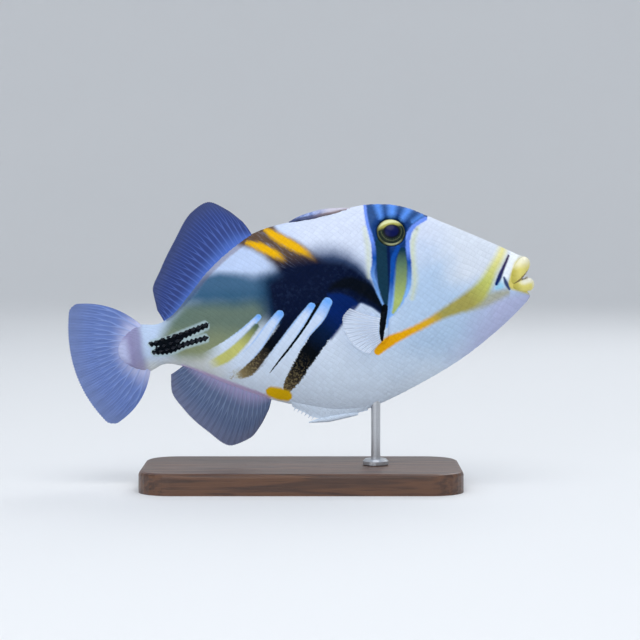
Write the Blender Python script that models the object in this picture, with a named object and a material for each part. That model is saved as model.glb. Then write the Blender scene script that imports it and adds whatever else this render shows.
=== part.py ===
# A life-size picasso triggerfish on a plain display stand.
# The fish is modelled in its own frame: x runs from the caudal fin's base towards the snout,
# z towards the back, and the fish's right side is at negative y. One empty then pitches it nose up.

import math

import bmesh
import bpy
import numpy as np
from mathutils import Matrix, Vector

MM = 0.001


def mm(*values):
    """Millimetres as metres: one number, or a tuple of them."""
    scaled = tuple(value * MM for value in values)
    return scaled[0] if len(scaled) == 1 else scaled


# Driving sizes of the whole fish
NOSE_UP = math.radians(10.6)
GAP = mm(0.3)

# Side outline of the body without its fins: (x, height) stations
BACK_LINE = [mm(-8, 13.6), mm(-3, 12.5), mm(2, 10.7), mm(8, 9.7), mm(14, 11.9), mm(24, 19.9),
             mm(33, 27.8), mm(47, 36.5), mm(56, 40.3), mm(64, 41.6), mm(80, 42.3), mm(102, 43.4),
             mm(113, 41.9), mm(121, 39.0), mm(129, 34.0), mm(147, 22.3), mm(158, 14.9), mm(165, 9.9)]
BELLY_LINE = [mm(-8, -12.2), mm(-3, -11.2), mm(2, -9.3), mm(8, -7.6), mm(16, -10.2), mm(25, -16.0),
              mm(34, -21.9), mm(50, -31.0), mm(62, -35.9), mm(78, -41.2), mm(88, -42.4), mm(97, -40.6),
              mm(114, -35.6), mm(132, -28.9), mm(150, -19.4), mm(159, -13.2), mm(165, -8.3)]
# The height at which the body is widest, and half its width there
WIDEST_LINE = [mm(-8, 0.2), mm(8, 1.2), mm(40, 3.0), mm(80, 0.0), mm(103, -5.0), mm(125, -5.0),
               mm(145, -3.0), mm(165, 0.6)]
HALF_WIDTH_LINE = [mm(-8, 1.2), mm(1, 1.7), mm(8, 3.2), mm(20, 5.3), mm(35, 8.3), mm(55, 11.6),
                   mm(75, 13.9), mm(93, 15.0), mm(104, 15.0), mm(115, 13.9), mm(130, 11.3),
                   mm(145, 8.4), mm(157, 6.2), mm(165, 5.0)]
# How far the middle of a slice runs ahead of its upper and lower ends
BOW_LINE = [mm(-8, -10.0), mm(1, -9.4), mm(12, -1.6), mm(31, 0.0), mm(80, 0.0), mm(102, 4.0),
            mm(118, 3.0), mm(140, 0.0), mm(155, -0.5), mm(165, -2.0)]
# Fullness of the slice above and below its widest level: 0.5 is an ellipse, more is a sharper keel
UPPER_KEEL_LINE = [(mm(-8), 0.5), (mm(10), 0.55), (mm(45), 0.72), (mm(80), 0.66), (mm(112), 0.58),
                   (mm(165), 0.5)]
LOWER_KEEL_LINE = [(mm(-8), 0.5), (mm(10), 0.55), (mm(45), 0.75), (mm(85), 0.86), (mm(115), 0.8),
                   (mm(150), 0.6), (mm(165), 0.5)]
UPPER_POWER = 2.2
LOWER_POWER = 2.0

# Where the body is parted: tail, torso and head
TAIL_END = mm(1.0)
TAIL_CUT = mm(31)
HEAD_CUT = mm(102.5)
SNOUT_END = mm(164.4)

# Eyes
EYE_CENTRE = mm(112.7, 30.3)
EYE_RADIUS = mm(6.2)
EYE_DEPTH = mm(4.2)
EYE_PROUD = mm(1.9)
RIM_THICKNESS = mm(0.85)

# Folded first dorsal fin, in the groove of the back: (x, height, radius)
FIRST_SPINE = [mm(98.5, 41.9, 0.8), mm(96.5, 42.6, 1.3), mm(92, 43.3, 1.4), mm(86, 43.6, 1.25), mm(80, 43.1, 1.05),
               mm(75, 42.6, 0.75), mm(71, 42.3, 0.3)]
SECOND_SPINE = [mm(93, 42.4, 0.9), mm(87, 42.7, 0.85), mm(81, 42.2, 0.7), mm(76, 42.1, 0.35)]
THIRD_SPINE = [mm(84, 42.2, 0.7), mm(79, 41.9, 0.6), mm(74, 41.9, 0.3)]

# Stand
BASE_SIZE = mm(136, 66, 9)
BASE_CORNER = mm(14)
BASE_EDGE = mm(1.6)
FIN_CLEARANCE = mm(8)
ROD_RADIUS = mm(2.0)
ROD_X = mm(93)
ROD_IN_BODY = mm(12)
ROD_IN_BASE = mm(5)
FERRULE_RADIUS = mm(5.5)
FERRULE_HEIGHT = mm(2.4)
LOWEST_FIN_POINT = mm(29.5, -47.4)
FISH_MIDDLE = mm(67.4)


# Smooth curves through stations

def smooth(line, at):
    """The height of a curve through (place, height) stations, with no overshoot between them."""
    places = np.array([p for p, _ in line])
    heights = np.array([h for _, h in line])
    steps = np.diff(places)
    slopes = np.diff(heights) / steps
    tangents = np.zeros(len(places))
    for i in range(1, len(places) - 1):
        if slopes[i - 1] * slopes[i] > 0:
            before, after = steps[i - 1], steps[i]
            first, second = 2 * after + before, after + 2 * before
            tangents[i] = (first + second) / (first / slopes[i - 1] + second / slopes[i])
    tangents[0], tangents[-1] = slopes[0], slopes[-1]
    at = min(max(at, places[0]), places[-1])
    k = min(int(np.searchsorted(places, at, side="right")) - 1, len(steps) - 1)
    t = (at - places[k]) / steps[k]
    return float(
        heights[k] * (1 + 2 * t) * (1 - t) ** 2
        + tangents[k] * steps[k] * t * (1 - t) ** 2
        + heights[k + 1] * t * t * (3 - 2 * t)
        + tangents[k + 1] * steps[k] * t * t * (t - 1)
    )


def blend(low, high, share):
    return low + (high - low) * share


# The body's surface

def body_point(s, v):
    """A point of the left side of slice s. v runs from -1 at the belly's keel to 1 at the back's."""
    widest = smooth(WIDEST_LINE, s)
    edge = smooth(BACK_LINE if v >= 0 else BELLY_LINE, s)
    power = UPPER_POWER if v >= 0 else LOWER_POWER
    keel = smooth(UPPER_KEEL_LINE if v >= 0 else LOWER_KEEL_LINE, s)
    half = smooth(HALF_WIDTH_LINE, s) * max(0.0, 1 - abs(v) ** power) ** keel
    return Vector((s + smooth(BOW_LINE, s) * (1 - v * v), half, widest + abs(v) * (edge - widest)))


def slice_at(x, z):
    """The slice and the share of its height that pass through a place of the side view."""
    s = x
    v = 0.0
    for _ in range(12):
        widest = smooth(WIDEST_LINE, s)
        edge = smooth(BACK_LINE if z >= widest else BELLY_LINE, s)
        v = min(1.0, abs((z - widest) / (edge - widest)))
        v = v if z >= widest else -v
        s = x - smooth(BOW_LINE, s) * (1 - v * v)
    return s, v


def skin_point(x, z, side):
    point = body_point(*slice_at(x, z))
    return Vector((x, side * point.y, z))


def skin_normal(x, z, side):
    step = mm(0.5)
    along = skin_point(x + step, z, side) - skin_point(x - step, z, side)
    up = skin_point(x, z + step, side) - skin_point(x, z - step, side)
    return (along.cross(up) * -side).normalized()


# Objects, and joining and cutting them

def material(name, colour, roughness, metallic=0.0):
    made = bpy.data.materials.new(name)
    made.use_nodes = True
    shader = made.node_tree.nodes["Principled BSDF"]
    shader.inputs["Base Color"].default_value = (*colour, 1)
    shader.inputs["Roughness"].default_value = roughness
    shader.inputs["Metallic"].default_value = metallic
    return made


def object_from(name, points, faces):
    mesh = bpy.data.meshes.new(name)
    mesh.from_pydata([tuple(p) for p in points], [], faces)
    shape = bmesh.new()
    shape.from_mesh(mesh)
    bmesh.ops.recalc_face_normals(shape, faces=shape.faces)
    shape.to_mesh(mesh)
    shape.free()
    made = bpy.data.objects.new(name, mesh)
    bpy.context.scene.collection.objects.link(made)
    return made


def keep_largest_surface(obj):
    shape = bmesh.new()
    shape.from_mesh(obj.data)
    left = set(shape.faces)
    islands = []
    while left:
        island, edge = set(), [left.pop()]
        while edge:
            face = edge.pop()
            island.add(face)
            for near in (f for e in face.edges for f in e.link_faces if f in left):
                left.discard(near)
                edge.append(near)
        islands.append(island)
    largest = max(islands, key=lambda faces: sum(f.calc_area() for f in faces))
    loose = [f for island in islands if island is not largest for f in island]
    bmesh.ops.delete(shape, geom=loose, context="FACES")
    shape.to_mesh(obj.data)
    shape.free()


def combine(obj, pieces, operation, solver="EXACT"):
    """Joins the pieces to the object, or cuts them from it, by one Boolean on their collection."""
    group = bpy.data.collections.new(obj.name + "_pieces")
    bpy.context.scene.collection.children.link(group)
    for piece in pieces:
        bpy.context.scene.collection.objects.unlink(piece)
        group.objects.link(piece)
    modifier = obj.modifiers.new(operation.lower(), "BOOLEAN")
    modifier.operation = operation
    modifier.operand_type = "COLLECTION"
    modifier.collection = group
    modifier.solver = solver
    bpy.context.view_layer.update()
    graph = bpy.context.evaluated_depsgraph_get()
    joined = bpy.data.meshes.new_from_object(obj.evaluated_get(graph))
    obj.modifiers.clear()
    obj.data = joined
    for piece in pieces:
        bpy.data.objects.remove(piece)
    bpy.data.collections.remove(group)
    keep_largest_surface(obj)


def tube(name, stations, sides, flat=1.0):
    """A closed tube of (point, radius) stations. flat narrows it across its own plane, y."""
    points, faces = [], []
    for k, (centre, radius) in enumerate(stations):
        ahead = stations[min(k + 1, len(stations) - 1)][0] - stations[max(k - 1, 0)][0]
        across = Vector((0, 1, 0)) if abs(ahead.normalized().y) < 0.9 else Vector((1, 0, 0))
        up = ahead.cross(across).normalized()
        across = up.cross(ahead).normalized()
        for i in range(sides):
            turn = 2 * math.pi * i / sides
            points.append(centre + up * math.cos(turn) * radius + across * math.sin(turn) * radius * flat)
    for k in range(len(stations) - 1):
        for i in range(sides):
            j = (i + 1) % sides
            faces.append((k * sides + i, k * sides + j, (k + 1) * sides + j, (k + 1) * sides + i))
    faces.append(tuple(range(sides)))
    faces.append(tuple(range((len(stations) - 1) * sides, len(stations) * sides)))
    return object_from(name, points, faces)


def ball(name, radius, segments=16, rings=10):
    shape = bmesh.new()
    bmesh.ops.create_uvsphere(shape, u_segments=segments, v_segments=rings, radius=radius)
    mesh = bpy.data.meshes.new(name)
    shape.to_mesh(mesh)
    shape.free()
    made = bpy.data.objects.new(name, mesh)
    bpy.context.scene.collection.objects.link(made)
    return made


def turned(name, profile, segments):
    """A solid of revolution about z through (radius, height) points, from one end to the other."""
    points, faces = [], []
    for radius, height in profile:
        for i in range(segments):
            turn = 2 * math.pi * i / segments
            points.append((radius * math.cos(turn), radius * math.sin(turn), height))
    for k in range(len(profile) - 1):
        for i in range(segments):
            j = (i + 1) % segments
            faces.append((k * segments + i, k * segments + j, (k + 1) * segments + j, (k + 1) * segments + i))
    faces.append(tuple(range(segments)))
    faces.append(tuple(range((len(profile) - 1) * segments, len(profile) * segments)))
    return object_from(name, points, faces)


# Body: one loft, parted in three

def body_length(name, slices, half_sides):
    """The closed length of the body through these slices. Its ends are strips from side to side."""
    levels = [math.cos(math.pi * i / half_sides) for i in range(half_sides + 1)]
    around = 2 * half_sides
    points = []
    for s in slices:
        left = [body_point(s, v) for v in levels]
        points += left + [Vector((p.x, -p.y, p.z)) for p in reversed(left[1:-1])]
    faces = []
    for k in range(len(slices) - 1):
        for i in range(around):
            j = (i + 1) % around
            faces.append((k * around + i, k * around + j, (k + 1) * around + j, (k + 1) * around + i))
    for k in (0, len(slices) - 1):
        for i in range(half_sides):
            corners = [i, i + 1, (around - i - 1) % around, (around - i) % around]
            faces.append(tuple(k * around + c for c in dict.fromkeys(corners)))
    return object_from(name, points, faces)


def eye_frame(side, proud):
    """The place and turn of an eye: its axis leaves the head square to the skin."""
    outward = skin_normal(*EYE_CENTRE, side)
    centre = skin_point(*EYE_CENTRE, side) + outward * (proud - EYE_DEPTH)
    return Matrix.Translation(centre) @ outward.to_track_quat("Z", "Y").to_matrix().to_4x4()


def eye_shape(name, side, extra, segments):
    """A flattened ball, extra larger all round than the eye."""
    made = ball(name, 1.0, segments=segments, rings=10)
    size = Matrix.Diagonal((EYE_RADIUS + extra, EYE_RADIUS + extra, EYE_DEPTH + extra, 1))
    made.data.transform(eye_frame(side, EYE_PROUD) @ size)
    return made


def eye_rim(side):
    """The raised ring of skin round an eye, half sunk in the head."""
    rim = []
    segments, sides = 22, 6
    radius = EYE_RADIUS + GAP + RIM_THICKNESS * 0.6
    for i in range(segments):
        turn = 2 * math.pi * i / segments
        x, z = EYE_CENTRE[0] + radius * math.cos(turn), EYE_CENTRE[1] + radius * math.sin(turn)
        outward = skin_normal(x, z, side)
        around = Vector((math.cos(turn), 0, math.sin(turn)))
        centre = skin_point(x, z, side) + outward * mm(0.15)
        for k in range(sides):
            roll = 2 * math.pi * k / sides
            rim.append(centre + (outward * math.cos(roll) + around * math.sin(roll)) * RIM_THICKNESS)
    faces = []
    for i in range(segments):
        for k in range(sides):
            j, m = (i + 1) % segments, (k + 1) % sides
            faces.append((i * sides + k, i * sides + m, j * sides + m, j * sides + k))
    return object_from("eye_rim", rim, faces)


def nostril_cutter(x, z, radius, side):
    outward = skin_normal(x, z, side)
    surface = skin_point(x, z, side)
    return tube("nostril", [(surface - outward * mm(0.8), radius * 0.7), (surface + outward * mm(1.5), radius)], 8)


def make_head():
    slices = np.concatenate([np.linspace(HEAD_CUT + GAP / 2, mm(126), 12), np.linspace(mm(129.5), SNOUT_END, 10)])
    head = body_length("head", slices, 15)
    combine(head, [eye_rim(side) for side in (-1, 1)], "UNION")
    cutters = [eye_shape("socket", side, GAP, 20) for side in (-1, 1)]
    cutters += [nostril_cutter(*place, side) for side in (-1, 1)
                for place in (mm(121.6, 30.2, 0.55), mm(123.6, 29.2, 0.42))]
    mouth = ball("mouth", 1.0, segments=14, rings=8)
    mouth.data.transform(Matrix.Translation(mm(163.5, 0, 0.3)) @ Matrix.Diagonal((*mm(6.5, 3.6, 3.6), 1)))
    cutters += [mouth, lip("lip_seat", UPPER_LIP, GAP), lip("lip_seat", LOWER_LIP, GAP)]
    combine(head, cutters, "DIFFERENCE")
    return head


# Spines of the first dorsal fin, which lies folded

def spine_tube(name, stations, aside, extra=0.0, tip=0.0):
    line = [(Vector((x, aside, z)), radius + extra) for x, z, radius in stations]
    first, last = line[0], line[-1]
    if tip:
        line.insert(0, (first[0] + (first[0] - line[1][0]).normalized() * tip, first[1]))
        line.append((last[0] + (last[0] - line[-2][0]).normalized() * tip, last[1]))
    return tube(name, line, 8)


def folded_spines(extra=0.0, tip=0.0):
    return [spine_tube("first_spine", FIRST_SPINE, 0, extra, tip),
            spine_tube("second_spine", SECOND_SPINE, mm(-0.9), extra, tip),
            spine_tube("third_spine", THIRD_SPINE, mm(0.8), extra, tip)]


def make_first_dorsal_fin():
    first, second, third = folded_spines()
    first.name = "first_dorsal_fin"
    combine(first, [second, third], "UNION")
    return first


# Torso, with the groove for the folded spines, the gill slits and the rod's socket

GILL_SLIT = [mm(100.9, 10.6), mm(102.6, 5.5), mm(103.6, 0.5), mm(103.2, -3.0)]
SCUTES = [mm(98.2, 8.6, 1.5), mm(99.4, 4.6, 1.7), mm(99.6, 0.6, 1.5), mm(96.0, 6.4, 1.3), mm(96.4, 2.4, 1.3)]


def gill_cutter(side):
    line = [(skin_point(x, z, side) - skin_normal(x, z, side) * mm(0.1), mm(0.55)) for x, z in GILL_SLIT]
    return tube("gill_slit", line, 6)


def plate(name, x, z, radius, side):
    """A low oval scute, its rim sunk in the skin."""
    outward = skin_normal(x, z, side)
    made = ball(name, 1.0, segments=8, rings=4)
    size = Matrix.Diagonal((radius, radius * 1.25, mm(0.75), 1))
    turn = outward.to_track_quat("Z", "Y").to_matrix().to_4x4()
    made.data.transform(Matrix.Translation(skin_point(x, z, side) - outward * mm(0.15)) @ turn @ size)
    return made


def make_torso(fish):
    slices = np.concatenate([np.linspace(TAIL_CUT + GAP / 2, mm(96), 14), [mm(99.5), HEAD_CUT - GAP / 2]])
    torso = body_length("torso", slices, 15)
    combine(torso, [plate("scute", *place, side) for side in (-1, 1) for place in SCUTES], "UNION")
    rod = turned("rod_socket", [(ROD_RADIUS + GAP, 0), (ROD_RADIUS + GAP, mm(60))], 16)
    rod.data.transform(fish.inverted() @ Matrix.Translation(rod_top(fish) + Vector((0, 0, GAP - mm(60)))))
    cutters = folded_spines(GAP, GAP) + [gill_cutter(side) for side in (-1, 1)] + [rod]
    combine(torso, cutters, "DIFFERENCE")
    return torso


# Tail, with its rows of forward-curved spines

# Rows from the rear to the front: first and last place, how many, and the largest spine's length
TAIL_SPINE_ROWS = [
    (mm(3.6, 2.3), mm(28.4, 5.7), 10, mm(2.9)),
    (mm(6.2, 0.1), mm(15.4, 1.2), 4, mm(2.5)),
    (mm(4.6, -1.9), mm(27.2, 0.3), 9, mm(2.8)),
]


def thorn(x, z, side, length):
    """A low thorn on the skin: five-sided, rooted in the tail, its point turned towards the head."""
    outward = skin_normal(x, z, side)
    surface = skin_point(x, z, side)
    forward = Vector((math.cos(math.radians(12)), 0, math.sin(math.radians(12))))
    forward = (forward - outward * forward.dot(outward)).normalized()
    up = outward.cross(forward)
    rings = [(-0.10, -mm(0.6), 0.33), (0.02, mm(0.4), 0.25), (0.30, mm(0.85), 0.13)]
    points, faces, sides = [], [], 5
    for along, height, width in rings:
        for i in range(sides):
            turn = 2 * math.pi * i / sides
            points.append(surface + forward * length * (along + width * 1.25 * math.cos(turn))
                          + up * length * width * math.sin(turn) + outward * height)
    points.append(surface + forward * length * 0.72 + outward * mm(1.05))
    for k in range(len(rings) - 1):
        for i in range(sides):
            j = (i + 1) % sides
            faces.append((k * sides + i, k * sides + j, (k + 1) * sides + j, (k + 1) * sides + i))
    last = (len(rings) - 1) * sides
    faces += [(last + i, last + (i + 1) % sides, len(points) - 1) for i in range(sides)]
    faces.append(tuple(range(sides)))
    return object_from("thorn", points, faces)


def tail_spines():
    draw = np.random.default_rng(7)
    spines = []
    for side in (-1, 1):
        for rear, front, count, longest in TAIL_SPINE_ROWS:
            for k in range(count):
                share = k / (count - 1)
                x, z = blend(rear[0], front[0], share), blend(rear[1], front[1], share)
                length = longest * blend(0.78, 1.0, share) * draw.uniform(0.92, 1.06)
                spines.append(thorn(x, z + draw.uniform(-0.15, 0.15) * MM, side, length))
    return spines


def make_tail():
    slices = np.concatenate([np.linspace(TAIL_END, mm(12), 7), np.linspace(mm(15.5), TAIL_CUT - GAP / 2, 5)])
    tail = body_length("tail", slices, 12)
    combine(tail, tail_spines(), "UNION")
    return tail


# Fins: one thin sheet for each, with every ray raised in its own surface

MEMBRANE = mm(0.5)
RAY = mm(0.95)
ROOT = mm(1.5)


def fin_thickness(row, on_ray):
    """Half the sheet's thickness at a share of the ray's length."""
    root = max(0.0, 1 - row / 0.16) ** 1.5
    thin = blend(RAY, MEMBRANE, row ** 1.5) if on_ray else MEMBRANE
    return 0.5 * blend(thin, ROOT, root)


def fin_sheet(name, columns, bend, rows):
    """A closed sheet through (root, curve, tip, on_ray) columns in the x-z plane.

    bend gives the sheet's sideways place at a point. Both faces are split into triangles alike.
    """
    shares = [(k / rows) ** 1.15 for k in range(rows + 1)]
    points, faces = [], []
    for root, knee, tip, on_ray in columns:
        for share in shares:
            x, z = ((1 - share) ** 2 * a + 2 * share * (1 - share) * b + share * share * c
                    for a, b, c in zip(root, knee, tip))
            middle = bend(x, z, share)
            half = fin_thickness(share, on_ray)
            points.append((x, middle + half, z))
            points.append((x, middle - half, z))
    high = len(shares)

    def at(column, row, face):
        return 2 * (column * high + row) + face

    last = len(columns) - 1
    for c in range(last):
        for r in range(rows):
            for face in (0, 1):
                a, b, d, e = at(c, r, face), at(c + 1, r, face), at(c + 1, r + 1, face), at(c, r + 1, face)
                faces += [(a, b, d), (a, d, e)]
        for r in (0, rows):
            faces.append((at(c, r, 0), at(c + 1, r, 0), at(c + 1, r, 1), at(c, r, 1)))
    for c in (0, last):
        for r in range(rows):
            faces.append((at(c, r, 0), at(c, r + 1, 0), at(c, r + 1, 1), at(c, r, 1)))
    return object_from(name, points, faces)


def ray_places(count, half_ridge):
    """Where the columns stand across the fin, as shares, with three to a ray."""
    places = []
    for k in range(count):
        middle = k / (count - 1)
        for offset, on_ray in ((-half_ridge, False), (0.0, True), (half_ridge, False)):
            share = middle + offset / (count - 1)
            if 0 <= share <= 1:
                places.append((share, on_ray))
    return places


def outline_point(outline, share):
    """A point of an outline of (share, x, z) stations."""
    return (smooth([(s, x) for s, x, _ in outline], share), smooth([(s, z) for s, _, z in outline], share))


DORSAL_RAYS = 24
DORSAL_BASE = mm(54.6, 10.8)
# The fin's outer edge, from its front ray to its rear one: share, x, z
DORSAL_EDGE = [(0.0, *mm(51.5, 46.2)), (0.07, *mm(46.0, 52.2)), (0.16, *mm(38.5, 56.9)), (0.26, *mm(31.5, 54.2)),
               (0.45, *mm(21.5, 43.0)), (0.65, *mm(13.6, 32.4)), (0.83, *mm(8.6, 23.8)), (1.0, *mm(9.0, 15.6))]
ANAL_RAYS = 22
ANAL_BASE = mm(49.6, 16.2)
ANAL_EDGE = [(0.0, *mm(47.6, -35.4)), (0.08, *mm(43.6, -40.7)), (0.18, *mm(37.6, -45.8)), (0.3, *mm(29.8, -47.4)),
             (0.5, *mm(20.2, -38.9)), (0.7, *mm(12.6, -28.6)), (0.86, *mm(8.6, -19.4)), (1.0, *mm(9.6, -12.4))]
FIN_SWAY = mm(2.2)


def sway(x, share, start, length, side):
    """The slow wave that runs back along a median fin, growing from its root to its edge."""
    return side * FIN_SWAY * share ** 1.3 * math.sin(2 * math.pi * (start - x) / length)


def median_fin(name, base, edge, rays, line, up, side):
    """The second dorsal or the anal fin, its root on the body's outline with the usual gap."""
    columns = []
    for share, on_ray in ray_places(rays, 0.3):
        x = blend(base[0], base[1], share)
        step = mm(0.5)
        slope = (smooth(line, x + step) - smooth(line, x - step)) / (2 * step)
        lift = GAP / math.sqrt(1 + slope * slope)
        root = (x - up * slope * lift, smooth(line, x) + up * lift)
        tip = outline_point(edge, share)
        knee = (blend(root[0], tip[0], 0.42), blend(root[1], tip[1], 0.58))
        columns.append((root, knee, tip, on_ray))
    return fin_sheet(name, columns, lambda x, z, share: sway(x, share, base[0], mm(46), side), 6)


CAUDAL_APEX = mm(8.0, 1.8)
CAUDAL_DROOP = math.radians(8)
CAUDAL_HALF_FAN = math.radians(43)
CAUDAL_ROOT_FLARE = math.radians(14)
CAUDAL_RAYS = 12
CAUDAL_RADIUS = mm(39.0)
CAUDAL_CORNER = mm(3.4)
CAUDAL_SWAY = mm(2.4)
CAUDAL_BULGE = mm(9.5, 6.3)


def caudal_point(spread, radius):
    """A point of the fan. spread runs from -1 at the lower edge to 1 at the upper."""
    reach = radius / CAUDAL_RADIUS
    turn = spread * (CAUDAL_HALF_FAN + CAUDAL_ROOT_FLARE * (1 - reach)) - CAUDAL_DROOP
    return (CAUDAL_APEX[0] - radius * math.cos(turn), CAUDAL_APEX[1] + radius * math.sin(turn))


def make_caudal_fin():
    """A fan of forked rays. The columns run as ridge, valley, ridge, and a fork's two ridges close up."""
    ridges = 2 * CAUDAL_RAYS
    columns = []
    for i in range(2 * ridges - 1):
        place, on_ray = i / 2, i % 2 == 0
        pair = 2 * (int(place) // 2) + 0.5
        inside = abs(place - pair) <= 0.5
        near = blend(place, pair, 0.55) if inside else place
        spread_tip = 2 * place / (ridges - 1) - 1
        spread_root = 2 * near / (ridges - 1) - 1
        v = 0.93 * spread_root
        end = body_point(TAIL_END, v)
        root = (end.x - GAP, end.z)
        corner = CAUDAL_CORNER * spread_tip ** 2
        fade = max(0.0, abs(spread_tip) - 0.86) / 0.14
        tip = caudal_point(spread_tip, CAUDAL_RADIUS + corner - mm(2.6) * fade ** 2)
        knee = caudal_point(blend(spread_root, spread_tip, 0.5), blend(mm(16), CAUDAL_RADIUS, 0.45))
        edge = abs(spread_tip) ** 3
        side = (root[1] - tip[1], tip[0] - root[0])
        bulge = (-CAUDAL_BULGE[0] if spread_tip < 0 else CAUDAL_BULGE[1]) / math.hypot(*side)
        full = (blend(root[0], tip[0], 0.5) - side[0] * bulge, blend(root[1], tip[1], 0.5) - side[1] * bulge)
        knee = (blend(knee[0], full[0], edge), blend(knee[1], full[1], edge))
        columns.append((root, knee, tip, on_ray))

    def bend(x, z, share):
        return CAUDAL_SWAY * share * math.sin(share * 2.2) + mm(0.9) * share * math.sin(z / mm(9))

    return fin_sheet("caudal_fin", columns, bend, 7)


# Pectoral fins

PECTORAL_BASE = [mm(103.0, -3.6), mm(100.6, -14.6)]
PECTORAL_RAYS = 13
PECTORAL_LENGTHS = [(0.0, mm(14.5)), (0.2, mm(17.5)), (0.5, mm(15.5)), (0.8, mm(11.5)), (1.0, mm(8.0))]
PECTORAL_FAN = (math.radians(28), math.radians(-34))
PECTORAL_SPLAY = math.radians(24)
LOBE_HEIGHT = mm(1.5)


def pectoral_lobe(side):
    """The fleshy root pad of a pectoral fin: its inner face follows the skin, a gap away."""
    (x0, z0), (x1, z1) = PECTORAL_BASE
    across, along = 12, 4
    inner, outer = [], []
    for k in range(along + 1):
        for i in range(across):
            turn = 2 * math.pi * i / across
            r = k / along
            x = blend(x0, x1, 0.5) + r * (mm(2.6) * math.cos(turn) + (x0 - x1) * 0.5 * math.sin(turn))
            z = blend(z0, z1, 0.5) + r * (z0 - z1) * 0.58 * math.sin(turn)
            surface, outward = skin_point(x, z, side), skin_normal(x, z, side)
            inner.append(surface + outward * GAP)
            outer.append(surface + outward * (GAP + mm(0.15) + LOBE_HEIGHT * math.sqrt(max(0.0, 1 - r * r))))
    points = [inner[0]] + inner[across:] + [outer[0]] + outer[across:]
    size = 1 + along * across
    faces = []
    for start in (0, size):
        for i in range(across):
            j = (i + 1) % across
            faces.append((start, start + 1 + i, start + 1 + j))
            for k in range(along - 1):
                a, b = start + 1 + k * across, start + 1 + (k + 1) * across
                faces.append((a + i, b + i, b + j, a + j))
    rim = 1 + (along - 1) * across
    for i in range(across):
        j = (i + 1) % across
        faces.append((rim + i, rim + j, size + rim + j, size + rim + i))
    return object_from("lobe", points, faces)


def make_pectoral_fin(name, side):
    """A small fan of rays, swept back and held off the flank."""
    (x0, z0), (x1, z1) = PECTORAL_BASE
    columns = []
    for share, on_ray in ray_places(PECTORAL_RAYS, 0.3):
        lean = blend(PECTORAL_FAN[0], PECTORAL_FAN[1], share)
        length = smooth(PECTORAL_LENGTHS, share)
        root = (0.0, blend(0.42, -0.42, share) * (z0 - z1))
        tip = (root[0] - length * math.cos(lean), root[1] + length * math.sin(lean))
        knee = (blend(root[0], tip[0], 0.5), blend(root[1], tip[1], 0.44))
        columns.append((root, knee, tip, on_ray))
    fin = fin_sheet(name, columns, lambda x, z, share: -mm(1.2) * math.sin(share * math.pi * 0.8), 5)
    middle = mm(101.4, -9.1)
    outward = skin_normal(*middle, side)
    surface = skin_point(*middle, side)
    back = Vector((-1, 0, 0.05))
    back = (back - outward * back.dot(outward)).normalized()
    reach = back * math.cos(PECTORAL_SPLAY) + outward * math.sin(PECTORAL_SPLAY)
    lean_axis = Vector(((x0 - x1) * 0.9, 0, z0 - z1)).normalized()
    lean_axis = (lean_axis - reach * lean_axis.dot(reach)).normalized()
    normal = lean_axis.cross(-reach) if side > 0 else reach.cross(lean_axis)
    place = Matrix((-reach, normal * side, lean_axis)).transposed().to_4x4()
    place.translation = surface + outward * mm(0.75) + back * mm(0.3)
    fin.data.transform(place)
    if place.to_3x3().determinant() < 0:
        fin.data.flip_normals()
    combine(fin, [pectoral_lobe(side)], "UNION")
    return fin


# Pelvic flap and spine, under the keel

FLAP_FRONT = mm(89.5)
FLAP_REAR = mm(58.0)
FLAP_EDGE = [mm(58.0, -35.6), mm(62.0, -38.6), mm(66.0, -41.6), mm(72.0, -43.6), mm(80.0, -43.6), mm(89.5, -43.0)]
PELVIC_SPINE = [mm(85.0, -43.6, 0.6), mm(80.0, -43.4, 1.1), mm(73.0, -43.6, 1.2), mm(67.5, -43.4, 0.8), mm(63.6, -43.4, 0.25)]
EDGE_THORNS = 6


def make_pelvic_flap():
    columns, levels = 12, 3
    points, faces = [], []
    for c in range(columns + 1):
        x = blend(FLAP_REAR, FLAP_FRONT, c / columns)
        top = smooth(BELLY_LINE, x) - GAP * 1.15
        low = min(smooth(FLAP_EDGE, x), top - mm(0.5))
        for r in range(levels + 1):
            share = r / levels
            half = blend(mm(0.95), mm(0.45), share)
            z = blend(top, low, share)
            points += [(x, half, z), (x, -half, z)]

    def at(column, row, face):
        return 2 * (column * (levels + 1) + row) + face

    for c in range(columns):
        for r in range(levels):
            for face in (0, 1):
                a, b, d, e = at(c, r, face), at(c + 1, r, face), at(c + 1, r + 1, face), at(c, r + 1, face)
                faces += [(a, b, d), (a, d, e)]
        for r in (0, levels):
            faces.append((at(c, r, 0), at(c + 1, r, 0), at(c + 1, r, 1), at(c, r, 1)))
    for c in (0, columns):
        for r in range(levels):
            faces.append((at(c, r, 0), at(c, r + 1, 0), at(c, r + 1, 1), at(c, r, 1)))
    flap = object_from("pelvic_flap", points, faces)
    pieces = [tube("pelvic_spine", [(Vector((x, 0, z)), radius) for x, z, radius in PELVIC_SPINE], 8, 0.8)]
    for k in range(EDGE_THORNS):
        x = blend(mm(59.2), mm(66.0), k / (EDGE_THORNS - 1))
        z = smooth(FLAP_EDGE, x)
        pieces.append(tube("edge_thorn", [(Vector((x + mm(0.7), 0, z + mm(0.9))), mm(0.42)),
                                          (Vector((x - mm(0.9), 0, z - mm(0.75))), mm(0.12))], 5))
    combine(flap, pieces, "UNION")
    return flap


# Lips with their teeth

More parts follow.
